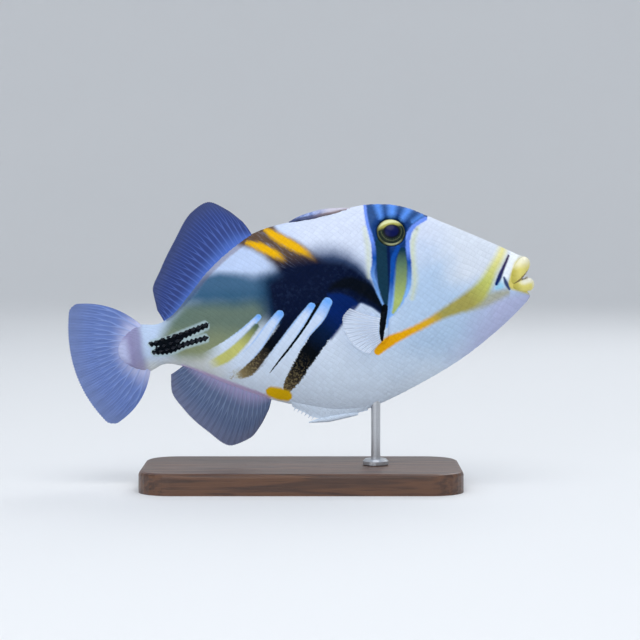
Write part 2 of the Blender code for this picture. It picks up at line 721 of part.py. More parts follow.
# From a corner of the mouth to the middle: x, y, z, half height, half depth
UPPER_LIP = [mm(159.5, 4.9, -0.5, 1.1, 1.2), mm(160.9, 4.9, 1.4, 2.2, 1.7), mm(163.2, 4.2, 4.0, 2.9, 2.2),
             mm(165.2, 2.4, 5.6, 3.3, 2.5), mm(165.9, 0.0, 6.0, 3.4, 2.6)]
LOWER_LIP = [mm(159.6, 4.8, -2.9, 0.9, 1.1), mm(161.8, 4.6, -3.3, 1.7, 1.5), mm(164.4, 3.5, -3.9, 2.2, 2.0),
             mm(166.1, 1.8, -4.3, 2.4, 2.3), mm(166.5, 0.0, -4.4, 2.45, 2.4)]
TEETH = 3


def lip(name, line, extra=0.0):
    """A lip swept round the front of the snout, fullest in the middle."""
    half = [(Vector((x, y, z)), high, deep) for x, y, z, high, deep in line]
    whole = [(Vector((c.x, -c.y, c.z)), high, deep) for c, high, deep in half] + half[-2::-1]
    points, faces, sides = [], [], 10
    for k, (centre, high, deep) in enumerate(whole):
        ahead = (whole[min(k + 1, len(whole) - 1)][0] - whole[max(k - 1, 0)][0]).normalized()
        if k in (0, len(whole) - 1):
            centre = centre + ahead * extra * (1 if k else -1)
        out = ahead.cross(Vector((0, 0, 1))).normalized()
        up = out.cross(ahead).normalized()
        for i in range(sides):
            turn = 2 * math.pi * (i + 0.5) / sides
            points.append(centre + up * math.cos(turn) * (high + extra) + out * math.sin(turn) * (deep + extra))
    for k in range(len(whole) - 1):
        for i in range(sides):
            j = (i + 1) % sides
            faces.append((k * sides + i, k * sides + j, (k + 1) * sides + j, (k + 1) * sides + i))
    faces.append(tuple(range(sides)))
    faces.append(tuple(range((len(whole) - 1) * sides, len(whole) * sides)))
    return object_from(name, points, faces)


def lip_teeth(up):
    """Short flat-sided incisors on both sides of the middle, rooted in the lip."""
    teeth = []
    for side in (-1, 1):
        for k in range(TEETH):
            y = side * mm(0.62 + 1.2 * k)
            x = mm(165.6 - 0.45 * k * k) if up > 0 else mm(165.9 - 0.45 * k * k)
            z = mm(4.2) - mm(0.35) * k if up > 0 else mm(-2.9)
            tip = Vector((x + mm(0.5), y * 0.94, z - up * mm(2.5 - 0.3 * k)))
            teeth.append(tube("tooth", [(Vector((x - mm(0.2), y, z)), mm(0.55)), (tip, mm(0.28))], 5))
    return teeth


def make_lips():
    upper, lower = lip("upper_lip", UPPER_LIP), lip("lower_lip", LOWER_LIP)
    combine(upper, lip_teeth(1), "UNION")
    combine(lower, lip_teeth(-1), "UNION")
    return upper, lower


# Stand

def fish_matrix():
    """Where the fish frame stands: pitched nose up, its lowest fin clear of the base."""
    turn = Matrix.Rotation(-NOSE_UP, 4, "Y")
    low = (turn @ Vector((LOWEST_FIN_POINT[0], 0, LOWEST_FIN_POINT[1]))).z
    return Matrix.Translation((-FISH_MIDDLE, 0, BASE_SIZE[2] + FIN_CLEARANCE - low)) @ turn


def rod_top(fish):
    """The rod's upper end in the world: it stands upright and ends inside the belly."""
    foot = fish @ Vector((ROD_X, 0, smooth(BELLY_LINE, ROD_X)))
    return foot + Vector((0, 0, ROD_IN_BODY))


def make_stand(fish):
    length, width, height = BASE_SIZE
    shape = bmesh.new()
    bmesh.ops.create_cube(shape, size=1.0, matrix=Matrix.Translation((0, 0, height / 2)) @ Matrix.Diagonal((*BASE_SIZE, 1)))
    upright = [e for e in shape.edges if abs(e.verts[0].co.z - e.verts[1].co.z) > height / 2]
    bmesh.ops.bevel(shape, geom=upright, offset=BASE_CORNER, segments=7, profile=0.5, affect="EDGES")
    rim = [e for e in shape.edges if min(v.co.z for v in e.verts) > height - mm(0.01)]
    bmesh.ops.bevel(shape, geom=rim, offset=BASE_EDGE, segments=2, profile=0.5, affect="EDGES")
    mesh = bpy.data.meshes.new("stand_base")
    shape.to_mesh(mesh)
    shape.free()
    base = bpy.data.objects.new("stand_base", mesh)
    bpy.context.scene.collection.objects.link(base)
    top = rod_top(fish)
    hole = turned("hole", [(ROD_RADIUS + GAP, height - ROD_IN_BASE), (ROD_RADIUS + GAP, height + mm(2))], 24)
    hole.data.transform(Matrix.Translation((top.x, 0, 0)))
    combine(base, [hole], "DIFFERENCE")
    seat = height + GAP
    profile = [(ROD_RADIUS, height - ROD_IN_BASE + GAP), (ROD_RADIUS, seat), (FERRULE_RADIUS, seat),
               (FERRULE_RADIUS, seat + FERRULE_HEIGHT * 0.6), (FERRULE_RADIUS - mm(1), seat + FERRULE_HEIGHT),
               (ROD_RADIUS, seat + FERRULE_HEIGHT), (ROD_RADIUS, top.z)]
    rod = turned("stand_rod", profile, 24)
    rod.location.x = top.x
    return base, rod


def dress(obj, finish, angle=40):
    obj.data.materials.clear()
    obj.data.materials.append(finish)
    obj.data.shade_smooth()
    obj.data.set_sharp_from_angle(angle=math.radians(angle))


def main():
    for old in list(bpy.data.objects):
        bpy.data.objects.remove(old)

    skin = material("skin", (0.72, 0.78, 0.84), 0.42)
    fin_skin = material("fin", (0.36, 0.42, 0.74), 0.45)
    clear_fin = material("clear_fin", (0.72, 0.78, 0.88), 0.4)
    spine_skin = material("spine", (0.45, 0.47, 0.56), 0.45)
    lip_skin = material("lip", (0.86, 0.78, 0.36), 0.4)
    eye_glass = material("eye", (0.05, 0.07, 0.12), 0.12)
    wood = material("wood", (0.16, 0.08, 0.04), 0.45)
    steel = material("steel", (0.62, 0.62, 0.63), 0.3, 1.0)

    place = fish_matrix()
    fish = bpy.data.objects.new("fish", None)
    bpy.context.scene.collection.objects.link(fish)
    fish.matrix_world = place

    upper, lower = make_lips()
    finished = [
        (make_head(), skin), (make_torso(place), skin), (make_tail(), skin),
        (make_first_dorsal_fin(), spine_skin), (make_pelvic_flap(), skin),
        (median_fin("second_dorsal_fin", DORSAL_BASE, DORSAL_EDGE, DORSAL_RAYS, BACK_LINE, 1, 1), fin_skin),
        (median_fin("anal_fin", ANAL_BASE, ANAL_EDGE, ANAL_RAYS, BELLY_LINE, -1, 1), fin_skin),
        (make_caudal_fin(), fin_skin),
        (make_pectoral_fin("pectoral_fin_right", -1), clear_fin),
        (make_pectoral_fin("pectoral_fin_left", 1), clear_fin),
        (eye_shape("eye_right", -1, 0.0, 18), eye_glass), (eye_shape("eye_left", 1, 0.0, 18), eye_glass),
        (upper, lip_skin), (lower, lip_skin),
    ]
    for obj, finish in finished:
        dress(obj, finish)
        obj.parent = fish
    base, rod = make_stand(place)
    dress(base, wood, 30)
    dress(rod, steel, 30)


main()
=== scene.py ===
import math

import bpy
import numpy as np
from mathutils import Matrix, Vector


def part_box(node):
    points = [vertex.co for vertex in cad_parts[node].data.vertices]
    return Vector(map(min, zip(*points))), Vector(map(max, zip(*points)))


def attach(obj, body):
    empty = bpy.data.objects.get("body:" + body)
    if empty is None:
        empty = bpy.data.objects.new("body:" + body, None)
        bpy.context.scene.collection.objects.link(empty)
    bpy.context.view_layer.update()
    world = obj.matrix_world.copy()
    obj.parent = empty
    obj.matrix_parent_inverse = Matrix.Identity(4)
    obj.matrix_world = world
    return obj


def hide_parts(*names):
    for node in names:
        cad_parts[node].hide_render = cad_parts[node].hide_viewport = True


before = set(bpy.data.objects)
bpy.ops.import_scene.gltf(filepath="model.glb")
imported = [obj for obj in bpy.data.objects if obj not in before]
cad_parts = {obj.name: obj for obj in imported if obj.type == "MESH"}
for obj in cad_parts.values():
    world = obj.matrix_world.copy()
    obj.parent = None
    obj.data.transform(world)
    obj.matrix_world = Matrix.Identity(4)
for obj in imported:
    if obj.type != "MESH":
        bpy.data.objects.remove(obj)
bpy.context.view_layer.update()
print("frame loaded:", len(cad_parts), "nodes")

# The fish is worked out in its own frame, in millimetres: x runs to the snout, z to the back,
# and its right side is at negative y. stance then puts it over the stand.
stance = {"noseUp": 10.6, "middle": 67.4, "clearance": 8.0, "lowestFin": (29.5, -47.4)}

# Outlines of the body along its length, as (x, millimetres), or (x, power) for the keels
body = {
    "back": [(-8, 13.6), (-3, 12.5), (2, 10.7), (8, 9.7), (14, 11.9), (24, 19.9), (33, 27.8), (47, 36.5),
             (56, 40.3), (64, 41.6), (80, 42.3), (102, 43.4), (113, 41.9), (121, 39), (129, 34),
             (147, 22.3), (158, 14.9), (165, 9.9)],
    "belly": [(-8, -12.2), (-3, -11.2), (2, -9.3), (8, -7.6), (16, -10.2), (25, -16), (34, -21.9),
              (50, -31), (62, -35.9), (78, -41.2), (88, -42.4), (97, -40.6), (114, -35.6), (132, -28.9),
              (150, -19.4), (159, -13.6), (165, -9.2)],
    "widest": [(-8, 0.2), (8, 1.2), (40, 3), (80, 0), (103, -5), (125, -5), (145, -3), (165, 0.6)],
    "halfWidth": [(-8, 1.2), (1, 1.7), (8, 3.2), (20, 5.3), (35, 8.3), (55, 11.6), (75, 13.9), (93, 15),
                  (104, 15), (115, 13.9), (130, 11.3), (145, 8.4), (157, 6.2), (165, 5)],
    "bow": [(-8, -10), (1, -9.4), (12, -1.6), (31, 0), (80, 0), (102, 4), (118, 3), (140, 0), (155, -0.5),
            (165, -2)],
    "upperKeel": [(-8, 0.5), (10, 0.55), (45, 0.72), (80, 0.66), (112, 0.58), (165, 0.5)],
    "lowerKeel": [(-8, 0.5), (10, 0.55), (45, 0.75), (85, 0.86), (115, 0.8), (150, 0.6), (165, 0.5)],
    "upperPower": 2.2,
    "lowerPower": 2.0,
}


def fishMatrix():
    turn = Matrix.Rotation(-math.radians(stance["noseUp"]), 4, "Y")
    x, z = stance["lowestFin"]
    low = (turn @ Vector((x, 0, z))).z * 0.001
    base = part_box("stand_base")[1].z
    lift = Matrix.Translation((-stance["middle"] * 0.001, 0, base + stance["clearance"] * 0.001 - low))
    return lift @ turn @ Matrix.Scale(0.001, 4)


fishPlace = np.array(fishMatrix())
bothSides = ((-1, "right"), (1, "left"))


def toWorld(points):
    return moved(np.asarray(points, float), fishPlace)


def moved(points, place):
    return points @ place[:3, :3].T + place[:3, 3]


def blend(low, high, share):
    return low + (high - low) * share


def easeStep(low, high, value):
    t = np.clip((value - low) / (high - low), 0, 1)
    return t * t * (3 - 2 * t)


def unit(v):
    return v / np.linalg.norm(v, axis=-1, keepdims=True)


def fullTurn(count, ahead=0.0):  # angles once round, evenly spread
    return 2 * np.pi * (np.arange(count) + ahead) / count


def crossed(first, second):  # a grid of every value of the first with every value of the second
    return np.meshgrid(first, second, indexing="ij")


def follow(line, at):  # a smooth curve through the line's points, which never swings past them
    places, heights = np.array(line, float).T
    steps = np.diff(places)
    slopes = np.diff(heights) / steps
    tangents = np.zeros(len(places))
    for i in range(1, len(places) - 1):
        if slopes[i - 1] * slopes[i] > 0:
            first, second = 2 * steps[i] + steps[i - 1], steps[i] + 2 * steps[i - 1]
            tangents[i] = (first + second) / (first / slopes[i - 1] + second / slopes[i])
    tangents[0], tangents[-1] = slopes[0], slopes[-1]
    at = np.clip(np.asarray(at, float), places[0], places[-1])
    k = np.clip(np.searchsorted(places, at, side="right") - 1, 0, len(steps) - 1)
    t = (at - places[k]) / steps[k]
    return (heights[k] * (1 + 2 * t) * (1 - t) ** 2 + tangents[k] * steps[k] * t * (1 - t) ** 2
            + heights[k + 1] * t * t * (3 - 2 * t) + tangents[k + 1] * steps[k] * t * t * (t - 1))


def smoothLine(stations, count):  # each column of the stations, smooth and evenly spread over count places
    stations = np.array(stations, float)
    share, fine = np.linspace(0, 1, len(stations)), np.linspace(0, 1, count)
    return fine, [follow(list(zip(share, column)), fine) for column in stations.T]


def bodyHalf(s, v):  # s is the station along the body, v runs from -1 at the belly to 1 at the back
    upper = v >= 0
    power = np.where(upper, body["upperPower"], body["lowerPower"])
    keel = np.where(upper, follow(body["upperKeel"], s), follow(body["lowerKeel"], s))
    return follow(body["halfWidth"], s) * np.clip(1 - np.abs(v) ** power, 0, 1) ** keel


def bodyPoint(s, v):
    widest = follow(body["widest"], s)
    edge = np.where(v >= 0, follow(body["back"], s), follow(body["belly"], s))
    return np.stack([s + follow(body["bow"], s) * (1 - v * v), bodyHalf(s, v),
                     widest + np.abs(v) * (edge - widest)], -1)


def skinPoint(x, z, side):  # the point of the skin that a side view shows at x and z
    x, z = np.broadcast_arrays(np.asarray(x, float), np.asarray(z, float))
    s, v = x, np.zeros_like(x)
    for _ in range(12):
        widest = follow(body["widest"], s)
        edge = np.where(z >= widest, follow(body["back"], s), follow(body["belly"], s))
        v = np.clip(np.abs((z - widest) / (edge - widest)), 0, 1) * np.where(z >= widest, 1, -1)
        s = x - follow(body["bow"], s) * (1 - v * v)
    return np.stack([x, side * bodyHalf(s, v), z], -1)


def skinNormal(x, z, side):
    along = skinPoint(x + 0.5, z, side) - skinPoint(x - 0.5, z, side)
    up = skinPoint(x, z + 0.5, side) - skinPoint(x, z - 0.5, side)
    return unit(np.cross(along, up) * -side)


# Meshes

def gridFaces(rows, columns, closed=True):
    r, c = crossed(np.arange(rows - 1), np.arange(columns if closed else columns - 1))
    here, below, beside = r * columns, (r + 1) * columns, (c + 1) % columns
    return np.stack([here + c, here + beside, below + beside, below + c], -1).reshape(-1, 4)


def sheetFaces(columns, rows):  # both faces of a thin sheet, and the rim between them
    count, last = columns * rows, rows - 1
    faces = gridFaces(columns, rows, closed=False)
    rim = ([(c * rows, (c + 1) * rows) for c in range(columns - 1)]
           + [((c + 1) * rows + last, c * rows + last) for c in range(columns - 1)]
           + [(r + 1, r) for r in range(last)]
           + [((columns - 1) * rows + r, (columns - 1) * rows + r + 1) for r in range(last)])
    return (faces[:, ::-1].tolist() + (faces + count).tolist()
            + [[a, b, b + count, a + count] for a, b in rim])


def tubeFaces(rings, sides):
    ends = [list(range(sides))[::-1], list(range((rings - 1) * sides, rings * sides))]
    return gridFaces(rings, sides).tolist() + ends


def outwardFaces(points, faces):
    volume = 0.0
    faces = [list(f) for f in faces]
    for f in faces:
        for i in range(1, len(f) - 1):
            volume += np.dot(points[f[0]], np.cross(points[f[i]], points[f[i + 1]]))
    return faces if volume > 0 else [f[::-1] for f in faces]


def joined(shapes):  # several closed shapes as one mesh
    faces, start = [], 0
    for points, own in shapes:
        faces += [[i + start for i in f] for f in outwardFaces(points - points.mean(0), own)]
        start += len(points)
    return np.concatenate([points for points, _ in shapes]), faces


def placed(name, data):
    made = bpy.data.objects.new(name, data)
    bpy.context.scene.collection.objects.link(made)
    return made


def smoothMesh(name, points, faces, finish):
    mesh = bpy.data.meshes.new(name)
    mesh.from_pydata(points.tolist(), [], [list(map(int, f)) for f in faces])
    mesh.materials.append(finish)
    mesh.shade_smooth()
    return mesh


def piece(name, points, faces, finish, fields=None, nodes=()):
    mesh = smoothMesh(name, toWorld(points), faces, finish)
    for key, values in ({"spot": points} | (fields or {})).items():
        values = np.asarray(values, np.float32)
        if values.ndim == 2:
            mesh.attributes.new(key, "FLOAT_VECTOR", "POINT").data.foreach_set("vector", values.ravel())
        else:
            mesh.attributes.new(key, "FLOAT", "POINT").data.foreach_set("value", values)
    made = placed(name, mesh)
    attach(made, "root")
    if nodes:
        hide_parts(*nodes)
    return made


def sweptTube(centres, high, deep, sides):
    centres = np.asarray(centres, float)
    ahead = unit(np.gradient(centres, axis=0))
    out = unit(np.cross(ahead, np.cross((0.0, 1.0, 0.0), ahead)))
    up = np.cross(out, ahead)
    turn = fullTurn(sides, 0.5)
    high, deep = np.asarray(high)[:, None, None], np.asarray(deep)[:, None, None]
    ring = (centres[:, None] + up[:, None] * np.cos(turn)[None, :, None] * high
            + out[:, None] * np.sin(turn)[None, :, None] * deep)
    return ring.reshape(-1, 3), tubeFaces(len(centres), sides)


# Markings, in millimetres on the side view. A stroke is (x, z, half width) along its middle.
strokes = {
    "stripeA": [(81, 6.3, 1.9), (76.7, 1.1, 2.3), (72.3, -2.6, 2.15), (69.2, -5.2, 2), (66.3, -8.2, 2),
                (62.5, -12, 2), (58.9, -15.9, 2.3), (54.6, -21.6, 2.4)],
    "stripeB": [(74.2, 5.6, 1.6), (69, 0.9, 2), (61, -7.1, 2.6), (52.6, -15, 2.8), (44.8, -22.2, 3)],
    "thinLine": [(76.9, 6, 0.64), (70.8, -1.1, 0.55), (62.8, -8.9, 0.5), (56.1, -14.8, 0.38),
                 (51.4, -19.1, 0.1)],
    "stripeC": [(60.4, 4.9, 1.6), (55, 0.1, 2), (47.6, -7.2, 2.4), (39.6, -12.6, 2.6), (31, -17.1, 2.8)],
    "oliveLine": [(49.6, 1.5, 1.2), (42.5, -4.3, 1.8), (34.2, -9.2, 2.2), (25.5, -11.7, 1.6)],
    "stripeD": [(51.4, 5.3, 1.1), (45.7, 1.4, 1.4), (37, -3.5, 1.9), (24.3, -8.9, 2.6)],
    "frontBand": [(83.6, 0.4, 4), (76.3, -6.5, 3.8), (69.6, -13.4, 3.6), (66, -17.2, 3.3), (62.9, -21, 3.2),
                  (59.2, -25, 2.6), (57.4, -27.2, 1.8)],
    "secondBand": [(66.7, 2.2, 3.4), (58, -4.8, 3), (49.3, -11.8, 2.9), (41.5, -16.4, 2.8),
                   (35.3, -17.4, 1.7)],
    "rearEyeLine": [(104, 43.3, 0.6), (103.5, 36, 0.65), (104.2, 26.8, 0.8), (103.1, 18.8, 0.9),
                    (101.7, 13.9, 0.85), (102.7, 5.4, 0.64), (104, -0.4, 0.34)],
    "darkEyeBand": [(108.1, 26.1, 3), (106.8, 16.8, 2.9), (105.8, 10.1, 2.7), (104.8, 3.8, 1.8),
                    (104.5, -3.5, 0.6)],
    "frontEyeLine": [(114.3, 23.2, 0.9), (111.6, 19.4, 0.94), (109.6, 12, 0.85), (107.4, 3.7, 0.77),
                     (104.6, -4.7, 0.6), (103.4, -8.6, 0.35)],
    "oliveEyeBand": [(115.7, 21.6, 1.4), (114.4, 15.9, 2.3), (112.6, 8.4, 2.4), (110.2, 1.9, 1.8),
                     (107.2, -3.2, 0.6)],
    "outerEyeLine": [(119.6, 28.3, 0.8), (118.3, 22.5, 0.85), (117.6, 14.8, 0.8), (116, 7.3, 0.75),
                     (113.6, 2.4, 0.35)],
    "rearHalo": [(101.9, 34, 0.6), (101.8, 27, 0.9), (101, 20, 0.9), (99.8, 13, 0.4)],
    "frontHalo": [(124.2, 29.8, 0.6), (121.4, 25.6, 1), (119.6, 18.5, 1.1), (118.9, 9.5, 1), (116, 1, 0.7)],
    "capRayRear": [(109.3, 42.5, 1.5), (109.6, 36.8, 1)],
    "capRayMiddle": [(115.7, 41.8, 2), (114, 36.6, 1.5)],
    "capRayFront": [(122.3, 38.6, 1.6), (118.1, 34.4, 1)],
    "capRayLow": [(127, 34.6, 0.7), (122.4, 32.6, 0.5)],
    "capEdge": [(128.2, 32.9, 0.77), (123.6, 31.2, 0.85), (120.6, 29, 0.94), (119.2, 26.2, 0.94)],
    "cheekLine": [(98, -18, 1.7), (103.1, -14.9, 2.3), (109.8, -13, 1.65), (115.6, -11.5, 1.5),
                  (122.3, -9.4, 1.6), (128.2, -7.5, 2.1), (135, -5.7, 3.1), (142, -3.3, 3.8),
                  (147.3, 0.7, 3.1), (151.8, 6.4, 2.1), (155.9, 11, 1.8), (158.4, 14.6, 1.5)],
    "jawOlive": [(138, -6.6, 2.3), (145, -5.6, 2.8), (150.5, -4.8, 2.2), (156, -4, 1.4)],
    "snoutLine": [(160, 11.1, 0.45), (156.5, 6.3, 0.75), (154.3, 3, 0.95), (152.5, 0.4, 0.75)],
    "snoutWhite": [(163.2, 12.2, 2.2), (160.7, 8.6, 1.7), (158, 4.7, 1.5), (155.9, 1.2, 1.4),
                   (154.2, -0.4, 1.5), (152.2, -1.4, 0.8)],
    "lipCrease": [(156.1, 2.4, 0.4), (156.6, -0.3, 0.8), (157.5, -2.9, 0.5)],
    "arch": [(82.5, 11, 0.4), (85.5, 12.4, 1.4), (90.5, 12.6, 2.6), (96, 9.6, 3), (100.2, 5.2, 2.4),
             (103.8, -0.4, 1.3)],
    "axilBar": [(104.2, -0.3, 1.3), (102.6, -5, 1.35), (101.1, -9.8, 1.1), (100.4, -13.6, 0.5)],
    "saddleFront": [(60.6, 40.8, 0.7), (63, 38.6, 1.6), (67.2, 35, 2), (71.8, 31.3, 1.8), (76.4, 27.5, 1.1),
                    (80.3, 22.3, 0.2)],
    "saddleRear": [(51.8, 36.8, 0.5), (54.8, 35.4, 1.2), (58.2, 33.4, 1.7), (61.6, 31, 1.6), (65, 28, 1.1),
                   (68, 24.9, 0.3)],
    "backBase": [(12.5, 10.6, 0.5), (16.4, 13.2, 0.9), (24, 18.9, 1.1), (32.3, 26, 1.1), (44.1, 33.8, 1.2),
                 (55.8, 39.3, 1.3)],
    "bellyBase": [(15, -9.4, 0.5), (25, -15.2, 0.8), (34, -20.9, 1), (49, -29.6, 0.8)],
    "ventSpot": [(50.5, -27.4, 2.4), (53.5, -28.8, 2.8), (56.5, -30.3, 2.4)],
    "spineUpper": [(3.8, 1.9, 0.85), (9.8, 1.6, 1.4), (17.9, 3.1, 1.4), (28.8, 5.7, 1.1)],
    "spineLower": [(4.4, -1.7, 0.85), (10.5, -2, 1.4), (18.5, -0.6, 1.1), (27.8, 0.4, 1)],
    "spineMiddle": [(5.5, -0.6, 0.64), (10.8, -0.3, 1.7), (16.3, 1.3, 1.1)],
    "axilPale": [(98.3, -2.4, 1.1), (97.5, -8.7, 1.8), (96.1, -14.1, 0.9)],
}

# An area is an outline, and how soft its edge is at the top and at the bottom
areas = {
    "eyeField": {"soft": (1.2, 1.2), "outline": [(103.8, 28), (103.1, 18.8), (101.7, 13.9), (102.7, 5.4),
        (104, -0.4), (104.3, -5.7), (107.4, -4), (112.2, 0.2), (115.9, 7.3), (117.6, 14.8), (118.3, 22.5),
        (119, 28)]},
    "cap": {"soft": (0.5, 0.5), "outline": [(103.7, 46), (103.1, 36.1), (104.1, 29), (106, 25.2),
        (112, 22.3), (117.7, 23), (120.3, 27.7), (123, 30.7), (128.1, 32.3), (131.5, 36), (125.1, 42),
        (117.1, 46)]},
    "patch": {"soft": (9, 0.8), "rear": 7.0, "outline": [(54, 21), (62, 25.5), (72.9, 29), (81, 30),
        (88.1, 29), (94.4, 25.5), (98.6, 20), (100.6, 13), (102.2, 6.5), (104.4, 0.4), (104.9, -3.6),
        (102.4, -3.6), (98.8, 0.3), (94.9, 3), (90.9, 2.5), (86.4, -1), (82, -5.8), (76.4, -5.6),
        (71.5, 0.5), (63.4, -1.5), (54, -1.9), (52.4, 3.7), (52.9, 13.5)]},
    "olive": {"soft": (6, 4), "outline": [(13, 11), (20, 17.5), (30, 18.5), (42, 17), (58, 15.5), (59, 6),
        (54, 3), (44, -2), (34, -6.5), (24, -8), (15, -6.5), (11, -4), (8, 3)]},
    "steel": {"soft": (2.6, 6), "outline": [(21, 19), (26.5, 23.5), (32.3, 26.8), (38, 27.2), (45, 25.8),
        (52.8, 23.4), (67, 22), (67, 9), (52, 10), (43, 11), (35, 12.5), (27, 14), (21, 15.5)]},
    "saddleBrown": {"soft": (2, 4.5), "outline": [(45, 39), (55, 46), (62, 46), (66.5, 38.6), (73, 33.6),
        (79, 27.5), (84, 21), (76, 16), (66, 17), (61, 26), (57.5, 30.5), (53.5, 33.8), (49, 36)]},
    "royal": {"soft": (1.6, 1.6), "outline": [(81.5, 9.6), (87, 8.8), (91.4, 6.2), (94, 2.8), (87.6, -2),
        (83.6, -6.2), (79.6, -9.8), (77.2, -8.2), (80, -3.5), (82, 2.2)]},
}

# Strokes fade to nothing within reach. Past it, far is stored: a distance, and a half width that is less.
fieldLook = {"reach": 7.0, "far": (20.0, -20.0, 0.0), "steps": 12}


def strokeField(x, z, stations):  # how far across a stroke each point is, its half width and how far along
    fine, columns = smoothLine(stations, fieldLook["steps"] * (len(stations) - 1) + 1)
    line = np.stack(columns, -1)
    reach = fieldLook["reach"]
    field = np.tile(fieldLook["far"], (len(x), 1))
    near = np.flatnonzero((x > line[:, 0].min() - reach) & (x < line[:, 0].max() + reach)
                          & (z > line[:, 1].min() - reach) & (z < line[:, 1].max() + reach))
    px, pz = x[near], z[near]
    best = np.full(len(near), 1e9)
    result = np.zeros((len(near), 3))
    for k in range(len(fine) - 1):
        (x0, z0, w0), (x1, z1, w1) = line[k], line[k + 1]
        length = math.hypot(x1 - x0, z1 - z0)
        ux, uz = (x1 - x0) / length, (z1 - z0) / length
        raw = (px - x0) * ux + (pz - z0) * uz
        held = np.clip(raw, 0, length)
        distance = np.hypot(px - x0 - held * ux, pz - z0 - held * uz)
        across = (px - x0) * uz - (pz - z0) * ux
        beyond = np.zeros(len(near))
        if k == 0:
            beyond = np.maximum(beyond, -raw)
        if k == len(fine) - 2:
            beyond = np.maximum(beyond, raw - length)
        half = blend(w0, w1, held / length)
        cap = np.sqrt(np.maximum(half * half - beyond * beyond, 0)) - np.maximum(beyond - half, 0) * 2
        half = np.where(beyond > 0, cap, half)
        along = blend(fine[k], fine[k + 1], held / length)
        take = distance < best
        best = np.where(take, distance, best)
        result = np.where(take[:, None], np.stack([across, half, along], -1), result)
    result[best > reach - 1] = fieldLook["far"]
    field[near] = result
    return field


def areaField(x, z, area):  # how far inside an area each point is, in softnesses of its edge
    outline = np.array(area["outline"], float)
    inside = np.zeros(len(x), bool)
    best = np.full(len(x), 1e9)
    for (x0, z0), (x1, z1) in zip(outline, np.roll(outline, -1, 0)):
        squared = (x1 - x0) ** 2 + (z1 - z0) ** 2
        t = np.clip(((x - x0) * (x1 - x0) + (z - z0) * (z1 - z0)) / squared, 0, 1)
        best = np.minimum(best, np.hypot(x - x0 - t * (x1 - x0), z - z0 - t * (z1 - z0)))
        inside ^= ((z0 > z) != (z1 > z)) & (x < (x1 - x0) * (z - z0) / (z1 - z0 + 1e-12) + x0)
    lowest, highest, rearmost = outline[:, 1].min(), outline[:, 1].max(), outline[:, 0].min()
    soft = blend(area["soft"][1], area["soft"][0], easeStep(lowest + 0.35 * (highest - lowest), highest, z))
    soft = np.maximum(soft, area.get("rear", 0) * easeStep(rearmost + 12, rearmost + 3, x))
    return np.clip(np.where(inside, best, -best) / soft, -3, 3)


# The scale plates are a slanting net, which gets finer behind tailFrom and wavers a little
plateNet = {"along": 3.0, "around": 2.9, "tailFrom": 60, "tailFiner": 0.3, "crowding": 2.4}


def plateCoordinates(p, q):  # p along the body and q around it, in millimetres
    start = plateNet["tailFrom"]
    q = q * (1 + plateNet["tailFiner"] * easeStep(start, 10, p))
    p = p - plateNet["crowding"] * np.logaddexp(0, (start - p) / 8)
    p = p + 0.30 * np.sin(q * 0.43 + 1.1) + 0.22 * np.sin(p * 0.37 + q * 0.21)
    q = q + 0.26 * np.sin(p * 0.51 + 0.4) + 0.20 * np.sin(q * 0.33 - p * 0.17)
    p, q = p / plateNet["along"], q / plateNet["around"]
    return p + q, p - q


def markingFields(points, girth=None):
    x, z = points[:, 0], points[:, 2]
    fields = {name: strokeField(x, z, stations) for name, stations in strokes.items()}
    fields |= {name: areaField(x, z, area) for name, area in areas.items()}
    a, b = plateCoordinates(x, z - follow(body["widest"], x) if girth is None else girth)
    return fields | {"spot": points, "plates": np.stack([a, b, np.zeros_like(a)], -1)}




# Shader sums

class Number:
    def __init__(self, finish, socket):
        self.finish, self.socket = finish, socket

    def __add__(self, other):
        return self.finish.calc("ADD", self, other)

    __radd__ = __add__

    def __sub__(self, other):
        return self.finish.calc("SUBTRACT", self, other)

    def __rsub__(self, other):
        return self.finish.calc("SUBTRACT", other, self)

    def __mul__(self, other):
        return self.finish.calc("MULTIPLY", self, other)

    __rmul__ = __mul__

    def __truediv__(self, other):
        return self.finish.calc("DIVIDE", self, other)

    def __pow__(self, other):
        return self.finish.calc("POWER", self, other)

    def __abs__(self):
        return self.finish.calc("ABSOLUTE", self)


def dyes(colours):  # colours as seen on a screen, 0 to 255
    def straight(c):
        c /= 255
        return c / 12.92 if c <= 0.04045 else ((c + 0.055) / 1.055) ** 2.4
    return {name: (*(straight(c) for c in colour), 1.0) for name, colour in colours.items()}


